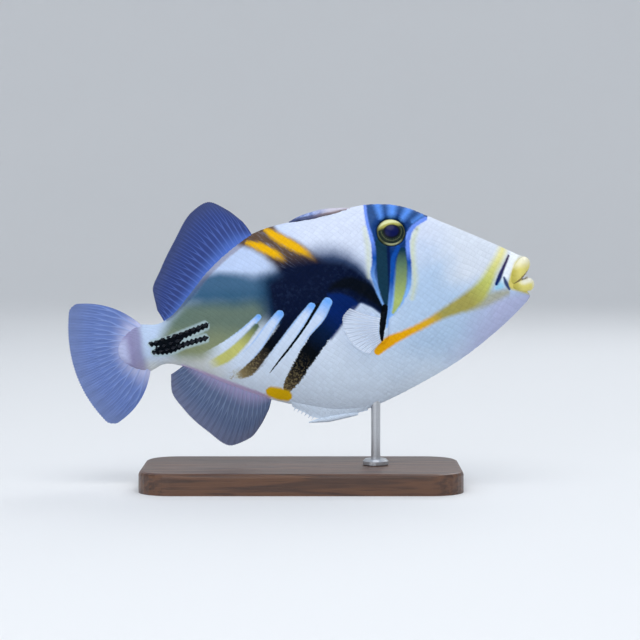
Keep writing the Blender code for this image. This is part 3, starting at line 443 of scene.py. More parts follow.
class Finish:
    def __init__(self, name, **fixed):
        self.material = bpy.data.materials.new(name)
        self.material.use_nodes = True
        self.tree = self.material.node_tree
        self.shader = self.tree.nodes["Principled BSDF"]
        self.give(**fixed)

    def give(self, **sockets):
        for socket, value in sockets.items():
            self.plug(self.shader.inputs[socket.replace("_", " ")], value)
        return self.material

    def plug(self, socket, value):
        value = getattr(value, "socket", value)
        if isinstance(value, bpy.types.NodeSocket):
            self.tree.links.new(value, socket)
        else:
            socket.default_value = value

    def node(self, kind, settings=None, values=None):
        made = self.tree.nodes.new("ShaderNode" + kind)
        for key, value in (settings or {}).items():
            if key == "stops":
                while len(made.color_ramp.elements) < len(value):
                    made.color_ramp.elements.new(0.5)
                for stop, (place, colour) in zip(made.color_ramp.elements, value):
                    stop.position, stop.color = place, colour
            else:
                setattr(made, key, value)
        for key, value in (values or {}).items():
            self.plug(made.inputs[key], value)
        return made

    def number(self, kind, settings=None, values=None, output=0):
        return Number(self, self.node(kind, settings, values).outputs[output])

    def calc(self, operation, *values):
        return self.number("Math", {"operation": operation}, dict(enumerate(values)))

    def most(self, first, *others):
        for other in others:
            first = self.calc("MAXIMUM", first, other)
        return first

    def mix(self, share, first, second, way="MIX"):
        settings = {"data_type": "RGBA", "blend_type": way}
        return self.number("Mix", settings, {0: share, 6: first, 7: second}, 2)

    def shaded(self, colour, tone):
        return self.mix(1.0, colour, self.vector(tone, tone, tone), "MULTIPLY")

    def ramp(self, share, stops):
        return self.number("ValToRGB", {"stops": stops}, {0: share})

    def step(self, value, low, high):
        limits = {0: value, 1: low, 2: high, 3: 0.0, 4: 1.0}
        return self.number("MapRange", {"interpolation_type": "SMOOTHSTEP"}, limits)

    def band(self, value, middle, half, soft):  # 1 within half of the middle
        return self.step(abs(value - middle) * -1.0 + half, -soft, soft)

    def field(self, name):
        return self.number("Attribute", {"attribute_name": name}, None, "Fac")

    def place(self, name):
        return self.number("Attribute", {"attribute_name": name}, None, "Vector")

    def parts(self, name):
        split = self.node("SeparateXYZ", None, {0: self.place(name)})
        return [Number(self, output) for output in split.outputs]

    def vector(self, x, y, z):
        return self.number("CombineXYZ", None, {0: x, 1: y, 2: z})

    def stretched(self, scale):  # the object's own place, in metres, times scale
        place = self.node("TexCoord").outputs["Object"]
        return self.number("Mapping", None, {"Vector": place, "Scale": scale})

    def noise(self, size, detail=3.0, where=None):  # size in the units of where, result about 0 to 1
        where = where or self.place("spot")
        return self.number("TexNoise", None, {"Vector": where, "Scale": 1.0 / size, "Detail": detail})

    def bump(self, height, depth):  # depth in millimetres for a height of 1
        return self.number("Bump", None, {"Height": height, "Distance": depth * 0.001, "Strength": 1.0})


# Skin

skinLook = dyes({
    "back": (213, 222, 241), "belly": (220, 234, 250), "cheek": (172, 199, 228), "rear": (178, 201, 232),
    "cream": (208, 208, 196), "steel": (32, 84, 118), "olive": (84, 106, 84), "slateBlue": (70, 92, 132),
    "patch": (0, 14, 46), "royal": (0, 34, 98), "bandBlack": (0, 6, 15), "bandBrown": (76, 66, 52),
    "bandPale": (154, 138, 98), "steelDeep": (28, 64, 96), "yellowOlive": (204, 204, 118),
    "stripe": (206, 222, 248), "stripeTop": (116, 176, 250), "gold": (236, 180, 8),
    "goldDeep": (232, 186, 18), "saddleBrown": (96, 76, 62), "blueLine": (14, 76, 166),
    "lilacLine": (112, 148, 240), "paleLine": (130, 180, 244), "eyeBlue": (4, 48, 112),
    "slate": (18, 54, 74), "navy": (2, 24, 70), "eyeOlive": (92, 122, 96), "eyeOlivePale": (172, 190, 112),
    "halo": (208, 216, 178), "capBlue": (90, 148, 238), "capSlate": (44, 80, 136), "orange": (240, 173, 10),
    "cheekOlive": (166, 158, 84), "cheekGreen": (196, 202, 108), "goldEnd": (228, 176, 40),
    "cheekYellow": (232, 226, 152), "snoutDark": (66, 50, 84), "white": (244, 249, 255),
    "lilac": (126, 114, 160), "spineHalo": (176, 198, 204), "lipYellow": (218, 206, 112),
    "mouth": (96, 62, 54), "brownLine": (126, 108, 112), "slateLine": (56, 74, 116),
    "oliveLow": (128, 138, 92), "lilacLinePale": (196, 178, 212), "rearWhite": (190, 208, 240),
    "snout": (215, 223, 235), "chin": (182, 188, 222), "stripeEdge": (140, 190, 250),
    "archBlack": (0, 7, 20), "frontNavy": (0, 26, 62), "finRoot": (186, 192, 226), "cyan": (150, 208, 236),
})

# Each tint: its strength, then where it sets in, as an axis, how far that wanders, and from where to where
skinTints = {
    "cheek": (0.85, ("x", 6, 80, 122), ("z", 12, 30, 6), ("z", 8, -36, -16)),
    "rearWhite": (1.0, ("x", 6, 82, 52), ("z", 6, 8, 20)),
    "rear": (0.7, ("x", 6, 30, 14)),
    "snout": (1.0, ("x", 6, 124, 142), ("z", 4, -3, 8)),
    "chin": (1.0, ("slant", 8, 138, 160), ("z", 4, -1, -9)),
    "cream": (0.7, ("x", 6, 44, 20), ("z", 5, -1, -9)),
}

# Colours that change along a stroke, from its first point at 0 to its last at 1
skinRamps = {
    "backLine": [(0.45, "slateLine"), (0.7, "brownLine")],
    "navyToBrown": [(0.0, "royal"), (0.14, "frontNavy"), (0.3, "bandBlack"), (0.6, "bandBlack"),
                    (0.9, "bandBrown")],
    "blackToYellow": [(0.0, "patch"), (0.38, "bandBlack"), (0.62, "bandBrown"), (0.85, "bandPale"),
                      (1.0, "yellowOlive")],
    "paleStripe": [(0.0, "stripeTop"), (0.16, "stripe"), (1.0, "belly")],
    "oliveStripe": [(0.0, "olive"), (0.4, "yellowOlive")],
    "lilacToPale": [(0.3, "lilacLine"), (0.45, "blueLine"), (0.85, "paleLine")],
    "blueToPale": [(0.45, "blueLine"), (0.85, "paleLine")],
    "eyeOliveRamp": [(0.0, "slate"), (0.25, "eyeOlive"), (0.75, "eyeOlivePale")],
    "cheekRamp": [(0.19, "orange"), (0.33, "goldEnd"), (0.45, "cheekOlive"), (0.6, "cheekOlive"),
                  (0.75, "cheekGreen"), (0.92, "cheekYellow")],
    "snoutRamp": [(0.5, "white"), (0.8, "cyan")],
}

# Noise sizes in millimetres. jagged is how far the scales' edges push a marking's edge about.
skinGrain = {"jagSize": 0.9, "jagged": 0.7, "driftSize": 9.0, "grainSize": 0.55, "finestSize": 0.28,
             "mottleSize": 1.5, "speckSize": 0.9, "capMiddle": (112.7, 30.3), "grooveDepth": 0.11}


def skinFinish():
    f = Finish("patternedSkin", Coat_Roughness=0.25, Specular_IOR_Level=0.03)
    look = skinLook
    x, y, z = f.parts("spot")
    axes = {"x": x, "z": z, "slant": x - z * 0.6}
    jag = (f.noise(skinGrain["jagSize"], 2.0) - 0.5) * skinGrain["jagged"]
    drift = f.noise(skinGrain["driftSize"], 2.0) - 0.5
    grain = f.noise(skinGrain["grainSize"], 3.0)

    def zone(axis, wander, start, full):
        return f.step(axes.get(axis, axis) + drift * wander, start, full)

    def stroke(name, soft=0.22, extra=0.0, rough=1.0):
        across, half, along = f.parts(name)
        return f.step(half - abs(across) + jag * rough + extra, -soft, soft), along

    def area(name, low=-0.5, high=0.5):
        return f.step(f.field(name) + drift * 0.25 + jag * 0.15, low, high)

    def tint(mask, dye):
        nonlocal colour
        colour = f.mix(mask, colour, look.get(dye, dye))

    def along(share, dye):
        return f.ramp(share, [(place, look[name]) for place, name in skinRamps[dye]])

    def lay(dye, name, soft=0.22, extra=0.0, rough=1.0, fade=None, share=1.0):
        mask, far = stroke(name, soft, extra, rough)
        if fade:
            mask = mask * f.step(far, *fade)
        tint(mask * share if share < 1 else mask, along(far, dye) if dye in skinRamps else dye)

    # The pale body, and the olive and steel blue of its rear
    colour = f.mix(zone("z", 8, -36, 24), look["belly"], look["back"])
    for dye, (strength, *limits) in skinTints.items():
        mask = strength
        for limit in limits:
            mask = zone(*limit) * mask
        tint(mask, dye)
    lowOlive = f.mix(zone(z + x * 0.2, 5, 14, 2), look["olive"], look["oliveLow"])
    tint(area("olive", -0.8, 0.9) * 0.92, lowOlive)
    tint(area("steel", -0.5, 0.9) * 0.92, "steel")
    lay("backLine", "backBase", 0.6, share=0.55)
    lay("lilacLinePale", "bellyBase", 0.7)

    # The dark patch and the arch behind the eye
    mottle = f.step(f.noise(skinGrain["mottleSize"], 3.0), 0.45, 0.75) * 0.1
    rim = f.mix(zone(x + z * 0.5, 6, 80, 68), look["slateBlue"], look["steelDeep"])
    depth = f.step(f.field("patch") + drift * 0.3, -0.2, 1.5)
    tint(area("patch", -0.5, 0.8), f.mix(depth, rim, f.mix(mottle, look["patch"], look["slateBlue"])))
    lay("archBlack", "arch", 1.3)
    tint(area("royal") * 0.95, "royal")

    # The slanting bands, speckled at their lower ends, and the pale stripes, bluer along their edges
    lay("navyToBrown", "frontBand", 0.3, rough=2.4)
    lay("blackToYellow", "secondBand", 0.5, rough=2.0, fade=(1.0, 0.8))
    speck = f.step(f.noise(skinGrain["speckSize"], 2.0), 0.5, 0.6)
    for name, ends, amount in (("frontBand", (0.3, 0.9), 0.48), ("secondBand", (0.35, 0.7), 0.6)):
        mask, far = stroke(name, 0.4)
        tint(mask * speck * f.step(far, *ends) * amount, "bandPale")
    for name in ("stripeD", "stripeC", "stripeB", "stripeA"):
        lay("paleStripe", name, 0.34, fade=(1.0, 0.7))
        across, half, far = f.parts(name)
        inside = half - abs(across)
        tint(f.step(inside, 0.9, 0.1) * f.step(inside, -0.3, 0.1) * f.step(far, 0.8, 0.3) * 0.6, "stripeEdge")
    lay("oliveStripe", "oliveLine", 0.7, fade=(1.0, 0.75))
    lay("bandBlack", "thinLine", 0.16, rough=0.6)
    lay("goldDeep", "ventSpot", 0.8)

    # The brown saddle with its gold bars
    streaks = f.noise(1.0, 3.0, f.vector((x + z) * 1.1, (x - z) * 0.16, y * 0.1))
    brown = f.mix(zone("z", 4, 31, 22), look["saddleBrown"], look["patch"])
    tint(area("saddleBrown", -0.4, 0.5) * (f.step(streaks, 0.15, 0.5) * 0.35 + 0.65), brown)
    for name in ("saddleFront", "saddleRear"):
        lay("gold", name, 1.1, (streaks - 0.5) * 1.8, fade=(1.0, 0.66))

    # The tail's root, and the black rows that carry its spines
    tint(zone("x", 2, -2.6, -5.4), "finRoot")
    tint(zone("x", 2, 2.4, -1.6) * zone("x", 2, -8.4, -4.0) * 0.75, "lilac")
    saw = f.calc("SINE", x * 3.3) * 0.28
    rows = ("spineUpper", "spineLower", "spineMiddle")
    for name in rows:
        lay("spineHalo", name, 0.6, 1.0, 0.6, share=0.85)
    for name in rows:
        lay("bandBlack", name, 0.14, saw, 0.8)

    # The blue mask round the eye
    lay("halo", "frontHalo", 1.4, share=0.75)
    lay("halo", "rearHalo", 1.3, share=0.6)
    tint(area("eyeField"), f.mix(zone("z", 2, -2, 20), look["paleLine"], look["eyeBlue"]))
    capX, capZ = skinGrain["capMiddle"]
    capDeep = f.step(f.calc("SQRT", (x - capX) ** 2.0 + (z - capZ) ** 2.0) + jag, 9.6, 7.2)
    tint(area("cap"), f.mix(capDeep * 0.8, look["capSlate"], look["eyeBlue"]))
    for name in ("capRayRear", "capRayMiddle", "capRayFront", "capRayLow"):
        lay("capBlue", name, 1.5, share=0.9)
    rearEdge = f.step(f.parts("darkEyeBand")[0], -1.2, -2.2)
    lay(f.mix(rearEdge, look["slate"], look["navy"]), "darkEyeBand", 0.45)
    lay("eyeOliveRamp", "oliveEyeBand", 0.6)
    lay("lilacToPale", "outerEyeLine", 0.5)
    lay("blueToPale", "frontEyeLine", 0.5)
    lay("lilacToPale", "rearEyeLine", 0.5)
    lay("lilacLine", "capEdge", 0.45)

    # The cheek line, softer towards the snout, and the lips' surround
    lay("cheekOlive", "jawOlive", 1.6, share=0.62)
    across, half, far = f.parts("cheekLine")
    tint(f.step((half - abs(across) + jag) / (0.5 + far * 1.5), -1.0, 1.0), along(far, "cheekRamp"))
    lay("stripe", "axilPale", 0.5)
    lay("bandBlack", "axilBar", 0.25)
    lipMask = f.step(x - z * 0.45 + jag, 156.9, 158.2) * f.step(z + x * 0.5 + jag, 75.2, 77.0)
    tint(lipMask * (1.0 - f.step(z, 7.0, 10.5) * 0.8), "lipYellow")
    lay("snoutRamp", "snoutWhite", 0.9, share=0.85)
    lay(f.mix(f.parts("snoutLine")[2], look["snoutDark"], look["eyeBlue"]), "snoutLine", 0.45, rough=0.5)
    lay("slateLine", "lipCrease", 0.45, rough=0.4)
    # Inside the mouth: dark brownish pink, the flesh's colour darkened as painted shade of the mouth's hollow
    tint(f.field("inMouth"), "mouth")

    # Scale plates, each a little lighter or darker, with fine grooves between them
    a, b, _ = f.parts("plates")
    edges = [abs(f.calc("FRACT", line) - 0.5) * 2.0 for line in (a, b)]
    groove = f.step(f.most(*edges), 0.72, 1.0)
    cell = f.vector(f.calc("FLOOR", a), f.calc("FLOOR", b), 0.0)
    plate = f.number("TexWhiteNoise", None, {"Vector": cell}, "Value")
    colour = f.shaded(colour, 0.935 + plate * 0.06 + grain * 0.07 - groove * 0.04)
    height = 1.0 - groove * 0.7 + plate * 0.1 + grain * 0.4 + f.noise(skinGrain["finestSize"], 1.0) * 0.35
    return f.give(Base_Color=colour, Roughness=0.42 + grain * 0.16 + groove * 0.1,
                  Normal=f.bump(height, skinGrain["grooveDepth"]), Coat_Weight=0.05 - groove * 0.03)


# The rim round an eye is (distance from the eye's middle, height over the skin)
eye = {"centre": (112.7, 30.3), "radius": 6.2, "depth": 4.2, "proud": 1.9, "dome": 0.25, "socket": 3.0,
       "grid": (44, 96), "rimAround": 120,
       "rim": [(5.95, -2.4), (6.1, -1.2), (6.2, -0.3), (6.35, 0.3), (6.65, 0.68), (7.0, 0.8), (7.4, 0.68),
               (7.9, 0.4), (8.4, 0.15), (9.0, 0.0), (9.7, -0.14)]}

# What is carved in the skin or stands on it, on the side view: grooves with their width and depth,
# and round spots with their radius. The dorsal groove holds the folded fin: (x, half width).
details = {
    "plates": 0.13,
    "grooves": [([(100.9, 10.6), (102.6, 5.5), (103.6, 0.5), (103.2, -3.0)], 0.8, 0.9),
                ([(160.5, 11.1), (157.0, 6.1), (152.5, -0.4)], 0.7, 0.35),
                ([(119.5, 31.5), (124.0, 28.4), (127.5, 25.8)], 1.0, 0.35)],
    "scutes": [(98.2, 8.6, 1.5), (99.4, 4.6, 1.7), (99.6, 0.6, 1.5), (96.0, 6.4, 1.3), (96.4, 2.4, 1.3)],
    "nostrils": [(121.6, 30.2, 0.62), (123.6, 29.2, 0.5)],
    "dorsalGroove": [(60, 0.0), (70, 0.0), (73, 0.6), (78, 1.2), (86, 1.6), (93, 1.5), (96.5, 0.9),
                     (98.5, 0.0), (110, 0.0)],
    "grooveDepth": 0.85,
}


def grooveDip(x, y, z):
    wide = follow(details["dorsalGroove"], x)
    top = follow(body["back"], x)
    within = easeStep(wide + 0.25, wide - 0.25, np.abs(y)) * (wide > 0.1)
    return -details["grooveDepth"] * wide * easeStep(top - 5.0, top - 2.5, z) * within


def strokeDip(x, z, stations, wide, depth):
    across, half, _ = strokeField(x, z, [(a, b, wide) for a, b in stations]).T
    return -depth * easeStep(-0.5 * wide, 0.5 * wide, half - np.abs(across))


def skinHeight(x, y, z, q):
    a, b = plateCoordinates(x, q)
    fromEye = np.hypot(x - eye["centre"][0], z - eye["centre"][1])
    calm = easeStep(7.5, 10.5, fromEye) * easeStep(162, 152, x)
    domes = np.cos(np.pi * (np.mod(a, 1) - 0.5)) * np.cos(np.pi * (np.mod(b, 1) - 0.5)) - 0.5
    height = details["plates"] * calm * domes + grooveDip(x, y, z)
    for stations, wide, depth in details["grooves"]:
        height += strokeDip(x, z, stations, wide, depth)
    for cx, cz, radius in details["scutes"]:
        r = np.hypot((x - cx) / radius, (z - cz) / (radius * 1.25))
        height += 0.34 * np.sqrt(np.clip(1 - r ** 4, 0, 1))
    for cx, cz, radius in details["nostrils"]:
        r = np.hypot(x - cx, z - cz) / radius
        height -= np.where(r < 1.25, 0.8 * easeStep(1.1, 0.7, r), 0)
        height += 0.16 * np.exp(-((r - 1.5) / 0.35) ** 2)
    return height - eye["socket"] * easeStep(7.3, 6.5, fromEye)


# Stations along the body are (from, to, step). Each ring that closes an end has its share of the end's
# size, and how far past the end it lies. The snout's rings round over its edge, then turn in to the mouth.
skinShape = {
    "stations": [(1.0, 30.0, 0.62), (30.0, 97.0, 0.78), (97.0, 126.0, 0.44), (126.0, 150.0, 0.7),
                 (150.0, 164.5, 0.48)],
    "halfAround": 150,
    "tailRings": [(0.16, 2.1), (0.4, 1.7), (0.72, 0.9)],
    "mouthRings": [(0.99, 0.22), (0.973, 0.45), (0.95, 0.63), (0.92, 0.78), (0.885, 0.85), (0.84, 0.82),
                   (0.79, 0.65), (0.74, 0.3), (0.69, -0.2), (0.62, -1.0), (0.52, -2.4), (0.38, -4.2),
                   (0.2, -5.6), (0.04, -6.2)],
    "chin": 1.7, "mouthPlane": 163.4, "mouthHeight": 0.2,
}


def mouthRings(end):
    rings = []
    upper = np.clip((end[:, 2] - skinShape["mouthHeight"]) / 10, -1, 1)
    for scale, ahead in skinShape["mouthRings"]:
        ring = end * (0, scale, scale) + (0, 0, skinShape["mouthHeight"] * (1 - scale))
        lower = np.maximum(-upper, 0)
        chin = skinShape["chin"] * easeStep(1.0, 0.74, scale) * easeStep(0.6, 0.72, scale) * lower
        fuller = 1 + np.where(upper > 0, 0.95, 0.5) * upper if ahead > 0 else 1.0
        ring[:, 0] = blend(skinShape["mouthPlane"], end[:, 0], scale) + ahead * fuller + chin
        rings.append(ring)
    return np.array(rings)


def makeSkin(finish):
    stations = np.concatenate([np.arange(*span) for span in skinShape["stations"]])
    half = skinShape["halfAround"]
    i = np.arange(half + 1)
    s, v = crossed(stations, 0.5 * np.cos(np.pi * i / half) + 0.5 * (1 - 2 * i / half))
    left = bodyPoint(s, v)
    steps = np.linalg.norm(np.diff(left, axis=1), axis=2)
    arc = np.concatenate([np.zeros((len(stations), 1)), np.cumsum(steps, 1)], 1)
    girth = arc[:, half // 2][:, None] - arc
    girth = np.concatenate([girth, girth[:, -2:0:-1]], 1)
    rest = np.concatenate([left, left[:, -2:0:-1] * (1, -1, 1)], 1)
    rows, columns = girth.shape
    around = np.roll(rest, -1, 1) - np.roll(rest, 1, 1)
    normal = np.cross(around, np.gradient(rest, axis=0))
    normal /= np.maximum(np.linalg.norm(normal, axis=2, keepdims=True), 1e-9)
    if np.sum(normal * (rest - rest.mean(1, keepdims=True))) < 0:
        normal = -normal
    height = skinHeight(*rest.reshape(-1, 3).T, girth.ravel()).reshape(rows, columns)
    points = rest + normal * height[..., None]
    tail = np.array([points[0] * (1, scale, 1) - (beyond, 0, 0) for scale, beyond in skinShape["tailRings"]])
    snout = mouthRings(points[-1])
    whole = np.concatenate([tail, points, snout])
    unmoved = np.concatenate([np.repeat(rest[:1], len(tail), 0), rest, snout])
    girth = np.concatenate([np.repeat(girth[:1], len(tail), 0), girth, np.repeat(girth[-1:], len(snout), 0)])
    # inMouth marks the rings that turn in to the mouth; the skin's finish paints them dark, flesh colour with
    # painted shade
    inMouth = np.zeros(girth.shape)
    scales = np.array(skinShape["mouthRings"])[:, :1]
    inMouth[-len(snout):] = easeStep(0.78, 0.6, scales)
    faces = gridFaces(len(whole), columns).tolist()
    for ring in (0, len(whole) - 1):
        for k in range(half):
            corners = [k, k + 1, (columns - k - 1) % columns, (columns - k) % columns]
            corners = [ring * columns + c for c in dict.fromkeys(corners)]
            faces.append(corners if ring else corners[::-1])
    flat = whole.reshape(-1, 3)
    fields = markingFields(unmoved.reshape(-1, 3), girth.ravel()) | {"inMouth": inMouth.ravel()}
    return piece("skin", flat, outwardFaces(flat, faces), finish, fields, ("head", "torso", "tail"))


def makeEyeRims(finish):
    turn = fullTurn(eye["rimAround"])
    for side, label in bothSides:
        rings = []
        for radius, height in eye["rim"]:
            lumps = 0.07 * np.sin(turn * 17 + radius) * np.sin(turn * 5 + 1) * (height > 0.2)
            x = eye["centre"][0] + radius * np.cos(turn)
            z = eye["centre"][1] + radius * np.sin(turn)
            rings.append(skinPoint(x, z, side) + skinNormal(x, z, side) * (height + lumps)[:, None])
        faces = gridFaces(len(rings), len(turn))[:, ::-side]
        flat = np.array(rings).reshape(-1, 3)
        piece("eyeRim_" + label, flat, faces.tolist(), finish, markingFields(flat))


# Eyes

# gold and cream paint the iris's gold ring; on the top of the eye they are also painted highlight
eyeLook = dyes({
    "pupil": (0, 12, 72), "pupilEdge": (0, 4, 18), "iris": (20, 36, 32), "irisLight": (62, 76, 52),
    "gold": (168, 164, 82), "cream": (224, 226, 168), "ring": (132, 138, 100), "rim": (50, 66, 58),
})

# Millimetres from the eye's middle: two pale rings, its edge, and the pupil, which is wider than high
eyeRings = {"inner": 4.3, "outer": 5.66, "edge": (5.95, 6.12), "pupilDrop": 0.45, "pupilHigh": 2.9,
            "pupilWide": 11.8 ** 0.5}


def eyeFinish():
    f = Finish("wetEye", Roughness=0.3, Coat_Weight=0.14, Coat_Roughness=0.04, Specular_IOR_Level=0.08)
    look = eyeLook
    reach, upward, turn = f.parts("ring")
    height = reach * upward
    fibres = f.noise(1.0, 3.0, f.vector(turn * 9.0, reach * 0.8, 0.0))
    wisp = fibres - 0.5
    colour = f.mix(f.step(fibres, 0.4, 0.75) * 0.6, look["iris"], look["irisLight"])
    # The top of the eye is painted gold and, highest up, cream: the iris's gold ring, made wider and brighter
    # at the top as painted highlight from the light above.
    colour = f.mix(f.step(height + wisp * 0.8, 0.9, 2.5), colour, look["gold"])
    colour = f.mix(f.step(height + reach * 0.3 + wisp * 0.6, 3.7, 5.2), colour, look["cream"])
    inner = f.band(reach, eyeRings["inner"], 0.16, 0.1) * f.step(height, 1.5, 0.0)
    outer = f.band(reach, eyeRings["outer"], 0.28, 0.15)
    colour = f.mix(inner * 0.28, colour, look["ring"])
    colour = f.mix(outer * 0.6, colour, look["ring"])
    colour = f.mix(outer * f.step(height, -3.6, -5.6), colour, look["cream"])
    drop = (height + eyeRings["pupilDrop"]) / eyeRings["pupilHigh"]
    aside = (reach * reach - height * height) / eyeRings["pupilWide"] ** 2
    pupil = f.calc("SQRT", drop * drop + aside)
    dark = f.mix(f.step(pupil, 0.98, 0.66), look["pupilEdge"], look["pupil"])
    colour = f.mix(f.step(pupil, 1.16, 0.94), colour, dark)
    colour = f.mix(f.step(reach, *eyeRings["edge"]), colour, look["rim"])
    return f.give(Base_Color=colour, Normal=f.bump(fibres, 0.03))


def makeEyes(finish):
    rings, segments = eye["grid"]
    p, t = crossed(np.linspace(0, np.pi, rings), fullTurn(segments))
    r = eye["radius"] * np.sin(p)
    dome = eye["dome"] * np.exp(-(r / 2.6) ** 2) * (np.cos(p) > 0)
    for side, label in bothSides:
        out = skinNormal(*eye["centre"], side)
        centre = skinPoint(*eye["centre"], side) + out * (eye["proud"] - eye["depth"])
        up = unit(np.array([0, 0, 1.0]) - out * out[2])
        ahead = np.cross(up, out) * -side
        points = (centre + out * (eye["depth"] * np.cos(p) + dome)[..., None]
                  + up * (r * np.sin(t))[..., None] + ahead * (r * np.cos(t))[..., None])
        flat, faces = joined([(points.reshape(-1, 3), gridFaces(rings, segments))])
        fields = {"ring": np.stack([r, np.sin(t), t], -1).reshape(-1, 3)}
        piece("eyeball_" + label, flat, faces, finish, fields, ("eye_" + label,))


# Fins. An edge point is (place along the base, x, z). Rays fork at the listed shares of their length, thick
# is a fin's thickness at its root and tip, and ray is how far its rays stand out on each side.

medianFin = {"forks": (0.34, 0.7), "grid": (64, 14), "thick": (0.34, 0.11), "ray": 0.24}
fins = {
    "dorsal": {**medianFin, "rays": 24, "base": (54.6, 10.8), "line": "back", "up": 1,
               "node": "second_dorsal_fin", "opacity": 0.88,
               "edge": [(0.0, 51.5, 46.2), (0.07, 46.0, 52.2), (0.16, 38.5, 56.9), (0.26, 31.5, 54.2),
                        (0.45, 21.5, 43.0), (0.65, 13.6, 32.4), (0.83, 8.6, 23.8), (1.0, 9.0, 15.6)],
               "look": dyes({"membrane": (44, 66, 136), "ray": (98, 128, 208), "root": (78, 116, 204),
                             "edge": (64, 76, 122)})},
    "anal": {**medianFin, "rays": 22, "base": (49.6, 16.2), "line": "belly", "up": -1, "node": "anal_fin",
             "edge": [(0.0, 47.6, -35.4), (0.08, 43.6, -40.7), (0.18, 37.6, -45.8), (0.3, 29.8, -47.4),
                      (0.5, 20.2, -38.9), (0.7, 12.6, -28.6), (0.86, 8.6, -19.4), (1.0, 9.6, -12.4)],
             "opacity": 0.84,
             "look": dyes({"membrane": (78, 98, 138), "ray": (150, 166, 198), "root": (172, 164, 206),
                           "edge": (110, 116, 148)})},
    "caudal": {"rays": 12, "apex": (8.0, 1.8), "droop": 8.0, "halfFan": 43.0, "rootFlare": 14.0,
               "radius": 39.0, "rootRadius": 16.0, "corner": 3.4, "rounded": 2.6, "sway": 2.4,
               "bulge": (6.4, 6.3), "tailEnd": 1.0,
               "forks": (0.16, 0.4, 0.64), "grid": (80, 26), "thick": (0.4, 0.12), "ray": 0.17,
               "opacity": 0.84,
               "look": dyes({"membrane": (98, 124, 190), "ray": (152, 172, 224), "root": (188, 192, 226),
                             "edge": (118, 136, 186)})},
    "pectoral": {"rays": 13, "base": [(103.0, -3.6), (100.6, -14.6)], "middle": (101.4, -9.1),
                 "fan": (28.0, -34.0), "splay": 24.0, "cup": 1.2,
                 "lengths": [(0.0, 14.5), (0.2, 17.5), (0.5, 15.5), (0.8, 11.5), (1.0, 8.0)],
                 "forks": (0.5, 0.8), "grid": (48, 12), "thick": (0.2, 0.08), "ray": 0.06,
                 "pad": {"height": 1.5, "lift": 0.45, "sunk": 0.9, "reach": 1.12, "wide": 2.6, "high": 0.58,
                         "grid": (14, 64)},
                 "look": dyes({"membrane": (222, 234, 252), "ray": (236, 242, 252)})},
    "swayDepth": 2.2, "swayLength": 46.0, "sunk": 1.6, "rayWidth": 0.2, "forkLength": 0.28,
    "notch": 0.35, "folds": 0.1, "rootSwell": 0.45,
}


def rayStart(k, aside, wide, parted, narrower):  # one more fork: how far from a ray, and how wide that ray is
    return abs(aside - parted * (0.25 / 2 ** k)), (1 - parted * narrower) * wide


def rayPattern(phase, t, forks):
    aside, wide = np.abs(np.mod(phase, 1.0) - 0.5), fins["rayWidth"]
    for k, start in enumerate(forks[:2]):
        aside, wide = rayStart(k, aside, wide, easeStep(start, start + fins["forkLength"], t), 0.45)
    return np.exp(-(aside / (wide * 0.75)) ** 2)


def rayMask(f, phase, t, forks):
    aside, wide = abs(f.calc("FRACT", phase) - 0.5), fins["rayWidth"]
    for k, start in enumerate(forks):
        aside, wide = rayStart(k, aside, wide, f.step(t, start, start + fins["forkLength"]), 0.5)
    return f.step(aside, wide, 0.0)


def finSheet(name, fin, curve, bend, finish, node, place=None):
    (rows, perRay), rays = fin["grid"], fin["rays"]
    columns = rays * perRay + 1
    u, t = crossed(np.linspace(0, 1, columns), np.linspace(0, 1, rows))
    root, knee, tip = curve(u)
    share = t[..., None]
    flat = (1 - share) ** 2 * root + 2 * share * (1 - share) * knee + share ** 2 * tip
    pattern = rayPattern(u * rays, t, fin["forks"])
    notch = fins["notch"] * (1 - pattern) * easeStep(0.9, 1.0, t)
    flat = flat - unit(tip - knee) * notch[..., None]
    folds = fins["folds"] * np.sin(2 * np.pi * u * rays) * easeStep(0.1, 0.7, t)
    middle = bend(flat[..., 0], flat[..., 1], t) + folds
    swell = fins["rootSwell"] * easeStep(0.22, 0.0, t)
    half = blend(*fin["thick"], t) * 0.5 + fin["ray"] * pattern * blend(1.0, 0.3, t) + swell
    half *= blend(0.5, 1.0, easeStep(0.0, 0.25, np.minimum(u, 1 - u) * rays))
    half *= blend(1.0, 0.35, easeStep(0.97, 1.0, t))
    points = np.concatenate([np.stack([flat[..., 0], middle + way * half, flat[..., 1]], -1).reshape(-1, 3)
                             for way in (1, -1)])
    if place is not None:
        points = moved(points, place)
    points, faces = joined([(points, sheetFaces(columns, rows))])
    ray = np.stack([u * rays, t, pattern], -1).reshape(-1, 3)
    return piece(name, points, faces, finish, {"ray": np.tile(ray, (2, 1))}, (node,))


def makeMedianFin(key, finish):
    fin = fins[key]
    line, up = body[fin["line"]], fin["up"]

    def curve(u):
        x = blend(*fin["base"], u)
        slope = follow(line, x + 0.5) - follow(line, x - 0.5)
        sunk = -fins["sunk"] / np.sqrt(1 + slope ** 2)
        root = np.stack([x - up * slope * sunk, follow(line, x) + up * sunk], -1)
        tip = np.stack([follow([(s, x) for s, x, _ in fin["edge"]], u),
                        follow([(s, z) for s, _, z in fin["edge"]], u)], -1)
        knee = blend(root, tip, np.array([0.42, 0.58]))
        return root, knee, tip

    def bend(x, z, t):
        wave = np.sin(2 * np.pi * (fin["base"][0] - x) / fins["swayLength"])
        return fins["swayDepth"] * t ** 1.3 * wave

    finSheet(key + "Fin", fin, curve, bend, finish, fin["node"])


